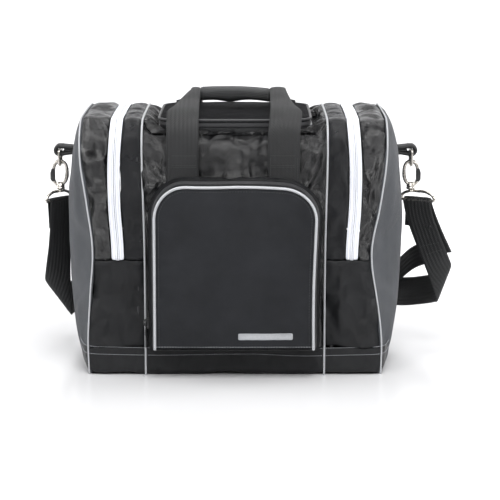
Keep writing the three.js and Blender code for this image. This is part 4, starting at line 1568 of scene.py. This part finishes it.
def make_slider(name, at, out, up):
    """A coated slider with a bridge and a hanging pull, drawn with the tape behind it."""
    up, out = np.array(up, float), np.array(out, float)
    right = np.cross(up, out)

    def place(u, v, w=0.0):
        return tuple(np.array(at) + right * u + up * v + out * w)

    body = name + "_slider"
    outline = [
        (-4.3, -4), (-3.4, -6), (3.4, -6), (4.3, -4), (4.3, 1), (3.2, 3.4), (3.0, 6), (-3.0, 6),
        (-3.2, 3.4), (-4.3, 1),
    ]
    plate_piece(
        body + "_top", outline, 1.5, lambda u, v, w: place(u, v, w + 0.9), "black_metal", body, 0.5,
        stands_for=(body,),
    )
    plate_piece(
        body + "_foot", outline, 1.1, lambda u, v, w: place(u, v, w - 0.2), "black_metal", body, 0.3
    )
    bridge = smooth_path([(-3.6, 2.2), (-3.0, 4.6), (-0.5, 6.0), (2.4, 6.0), (4.2, 4.6), (4.6, 2.2)], 22)
    tube_piece(body + "_bridge", [place(0, v, w) for v, w in bridge], 1.0, "black_metal", body, around=10)
    pull = name + "_pull"
    ring = smooth_path(
        [(-1.7, 0.1), (0, 1.0), (1.7, 0.1), (2.1, -3.4), (0, -5.2), (-2.1, -3.4)], 36, closed=True
    )
    tube_piece(
        pull + "_ring", [place(u, v + 1.5, 4.1) for u, v in ring], 0.6, "black_metal", pull, closed=True,
        around=9, stands_for=(pull,),
    )
    leaf = [
        (-2.0, -3.6), (2.0, -3.6), (2.9, -6), (3.1, -15), (2.6, -18), (1.4, -19.4), (-1.4, -19.4),
        (-2.6, -18), (-3.1, -15), (-2.9, -6),
    ]
    plate_piece(
        pull + "_leaf", leaf, 1.3, lambda u, v, w: place(u, v + 0.4, w + 3.3), "black_metal", pull, 0.45
    )
    tail = smooth_path(
        [(-0.9, -18.6), (-1.3, -23), (-1.0, -27.5), (0, -29), (1.0, -27.5), (1.3, -23), (0.9, -18.6)], 36
    )
    tube_piece(
        pull + "_cord", [place(u, v + 0.4, 3.95) for u, v in tail], 0.9, "black_thread", pull, around=8
    )
    ridge = [(-1.7, -8), (1.7, -8), (1.7, -15.5), (-1.7, -15.5)]
    plate_piece(
        pull + "_ridge", ridge, 0.6, lambda u, v, w: place(u, v + 0.4, w + 4.5), "black_metal", pull, 0.3
    )


def make_sliders():
    make_slider("pocket", (-100.9, -135.0, 66), (-1, 0, 0), (0, 0, 1))
    make_slider("lid", (95.6, 62, 291.3), (0, 0, 1), (0, -1, 0))
    for side, name in ((-1, "left"), (1, "right")):
        x = side * at_height(ZIP_LINE, 152)
        make_slider(name + "_end", (x, 120.2, 152), (0, 1, 0), (0, 0, 1))

# ---------------------------------------------------------------- inside


def make_inside():
    """The foam cup under the ball, the padded dividers and the covered board in the bottom."""
    ball_r, rim, bore, bottom, top = 108.0, 80.0, 62.0, 7.2, 46.0
    ball_z = top + math.sqrt(ball_r**2 - rim**2)
    hollow = [(r, ball_z - math.sqrt(ball_r**2 - r**2)) for r in np.linspace(rim - 1.5, bore + 1.5, 8)]
    profile = [
        (bore, bottom), (97, bottom), (98, bottom + 1), (98, top - 2.5), (97.2, top - 0.7), (95.5, top)
    ]
    profile += [(rim + 1, top)] + hollow + [(bore, hollow[-1][1] - 1.5), (bore, bottom + 2)]
    rings = []
    for a in np.linspace(0, 2 * math.pi, 96, endpoint=False):
        ring = []
        for r, z in profile:
            dent = 0.35 * noise.noise(Vector((r * 0.05 * math.cos(a), r * 0.05 * math.sin(a), z * 0.08)))
            ring.append(((r + dent) * math.cos(a), (r + dent) * math.sin(a), z + dent * 0.5))
        rings.append(ring)
    rings = np.array(rings)
    rows, cols = rings.shape[:2]
    faces = grid_faces(rows, cols, wrap_rows=True, wrap_cols=True)
    o = mesh_piece("ball_cushion", rings.reshape(-1, 3), faces, "foam", "bag", stands_for=("ball_cup",))
    outwards(o)

    for side, name in ((-1, "left"), (1, "right")):
        ys, zs = np.linspace(-114.5, 114.5, 34), np.linspace(7.5, 275.5, 38)
        bulge = [
            [math.cos(y / 116 * math.pi / 2) ** 0.5 * math.sin((z - 5) / 272 * math.pi) ** 0.5 for y in ys]
            for z in zs
        ]
        grid = [
            [(side * (115.6 - 1.3 * bulge[i][j]), y, z) for j, y in enumerate(ys)] for i, z in enumerate(zs)
        ]
        grid = np.array(grid)
        quilted = np.abs(np.sin(grid[:, :, 1] * math.pi / 76)) ** 0.4 * np.abs(
            np.sin((grid[:, :, 2] - 7.5) * math.pi / 89)
        ) ** 0.4
        grid[:, :, 0] -= side * 0.9 * quilted
        o = sheet_piece(
            name + "_divider_pad",
            grid,
            "lining",
            "bag",
            thick=3.4,
            fine=1,
            flip=side > 0,
            slot="foam",
            stands_for=(name + "_divider",),
        )
        rim = [(side * 114.4, -114.5, z) for z in np.linspace(8, 270, 50)]
        rim += [(side * 114.4, y, 275.8) for y in np.linspace(-110, 110, 40)]
        rim += [(side * 114.4, 114.5, z) for z in np.linspace(270, 8, 50)]
        tube_piece(
            name + "_divider_binding", smooth_path(rim[::6] + [rim[-1]], 150), 1.7, "black_tape", "bag",
            around=8,
        )

    board = filled_outline(170.0, 112.0, 12, 12, (40, 28))
    low = np.stack([board[:, :, 0], board[:, :, 1], np.full(board.shape[:2], 6.1)], axis=2)
    low = wrinkle(low, 0.3, scale=0.02, seed=3.0, fade=edge_fade(low))
    sheet_piece(
        "board_cover", low, "lining", "bag", thick=2.6, slot="stiff_board", stands_for=("base_board",)
    )


# ---------------------------------------------------------------- the scene

make_stage()
belt, ends = make_shell()
shell_pieces(belt, ends)
make_base(belt)
make_deck(belt)
make_pocket()
make_lid()
make_handles()
make_wrap()
make_clip("left", -1)
make_clip("right", 1)
make_strap()
make_sliders()
make_inside()
for node_name, o in frame["nodes"].items():
    slot_name = next(s["material_slot"] for s in frame["record"]["subparts"] if s["node"] == node_name)
    for s in o.material_slots:
        s.material = MATS[slot_name]
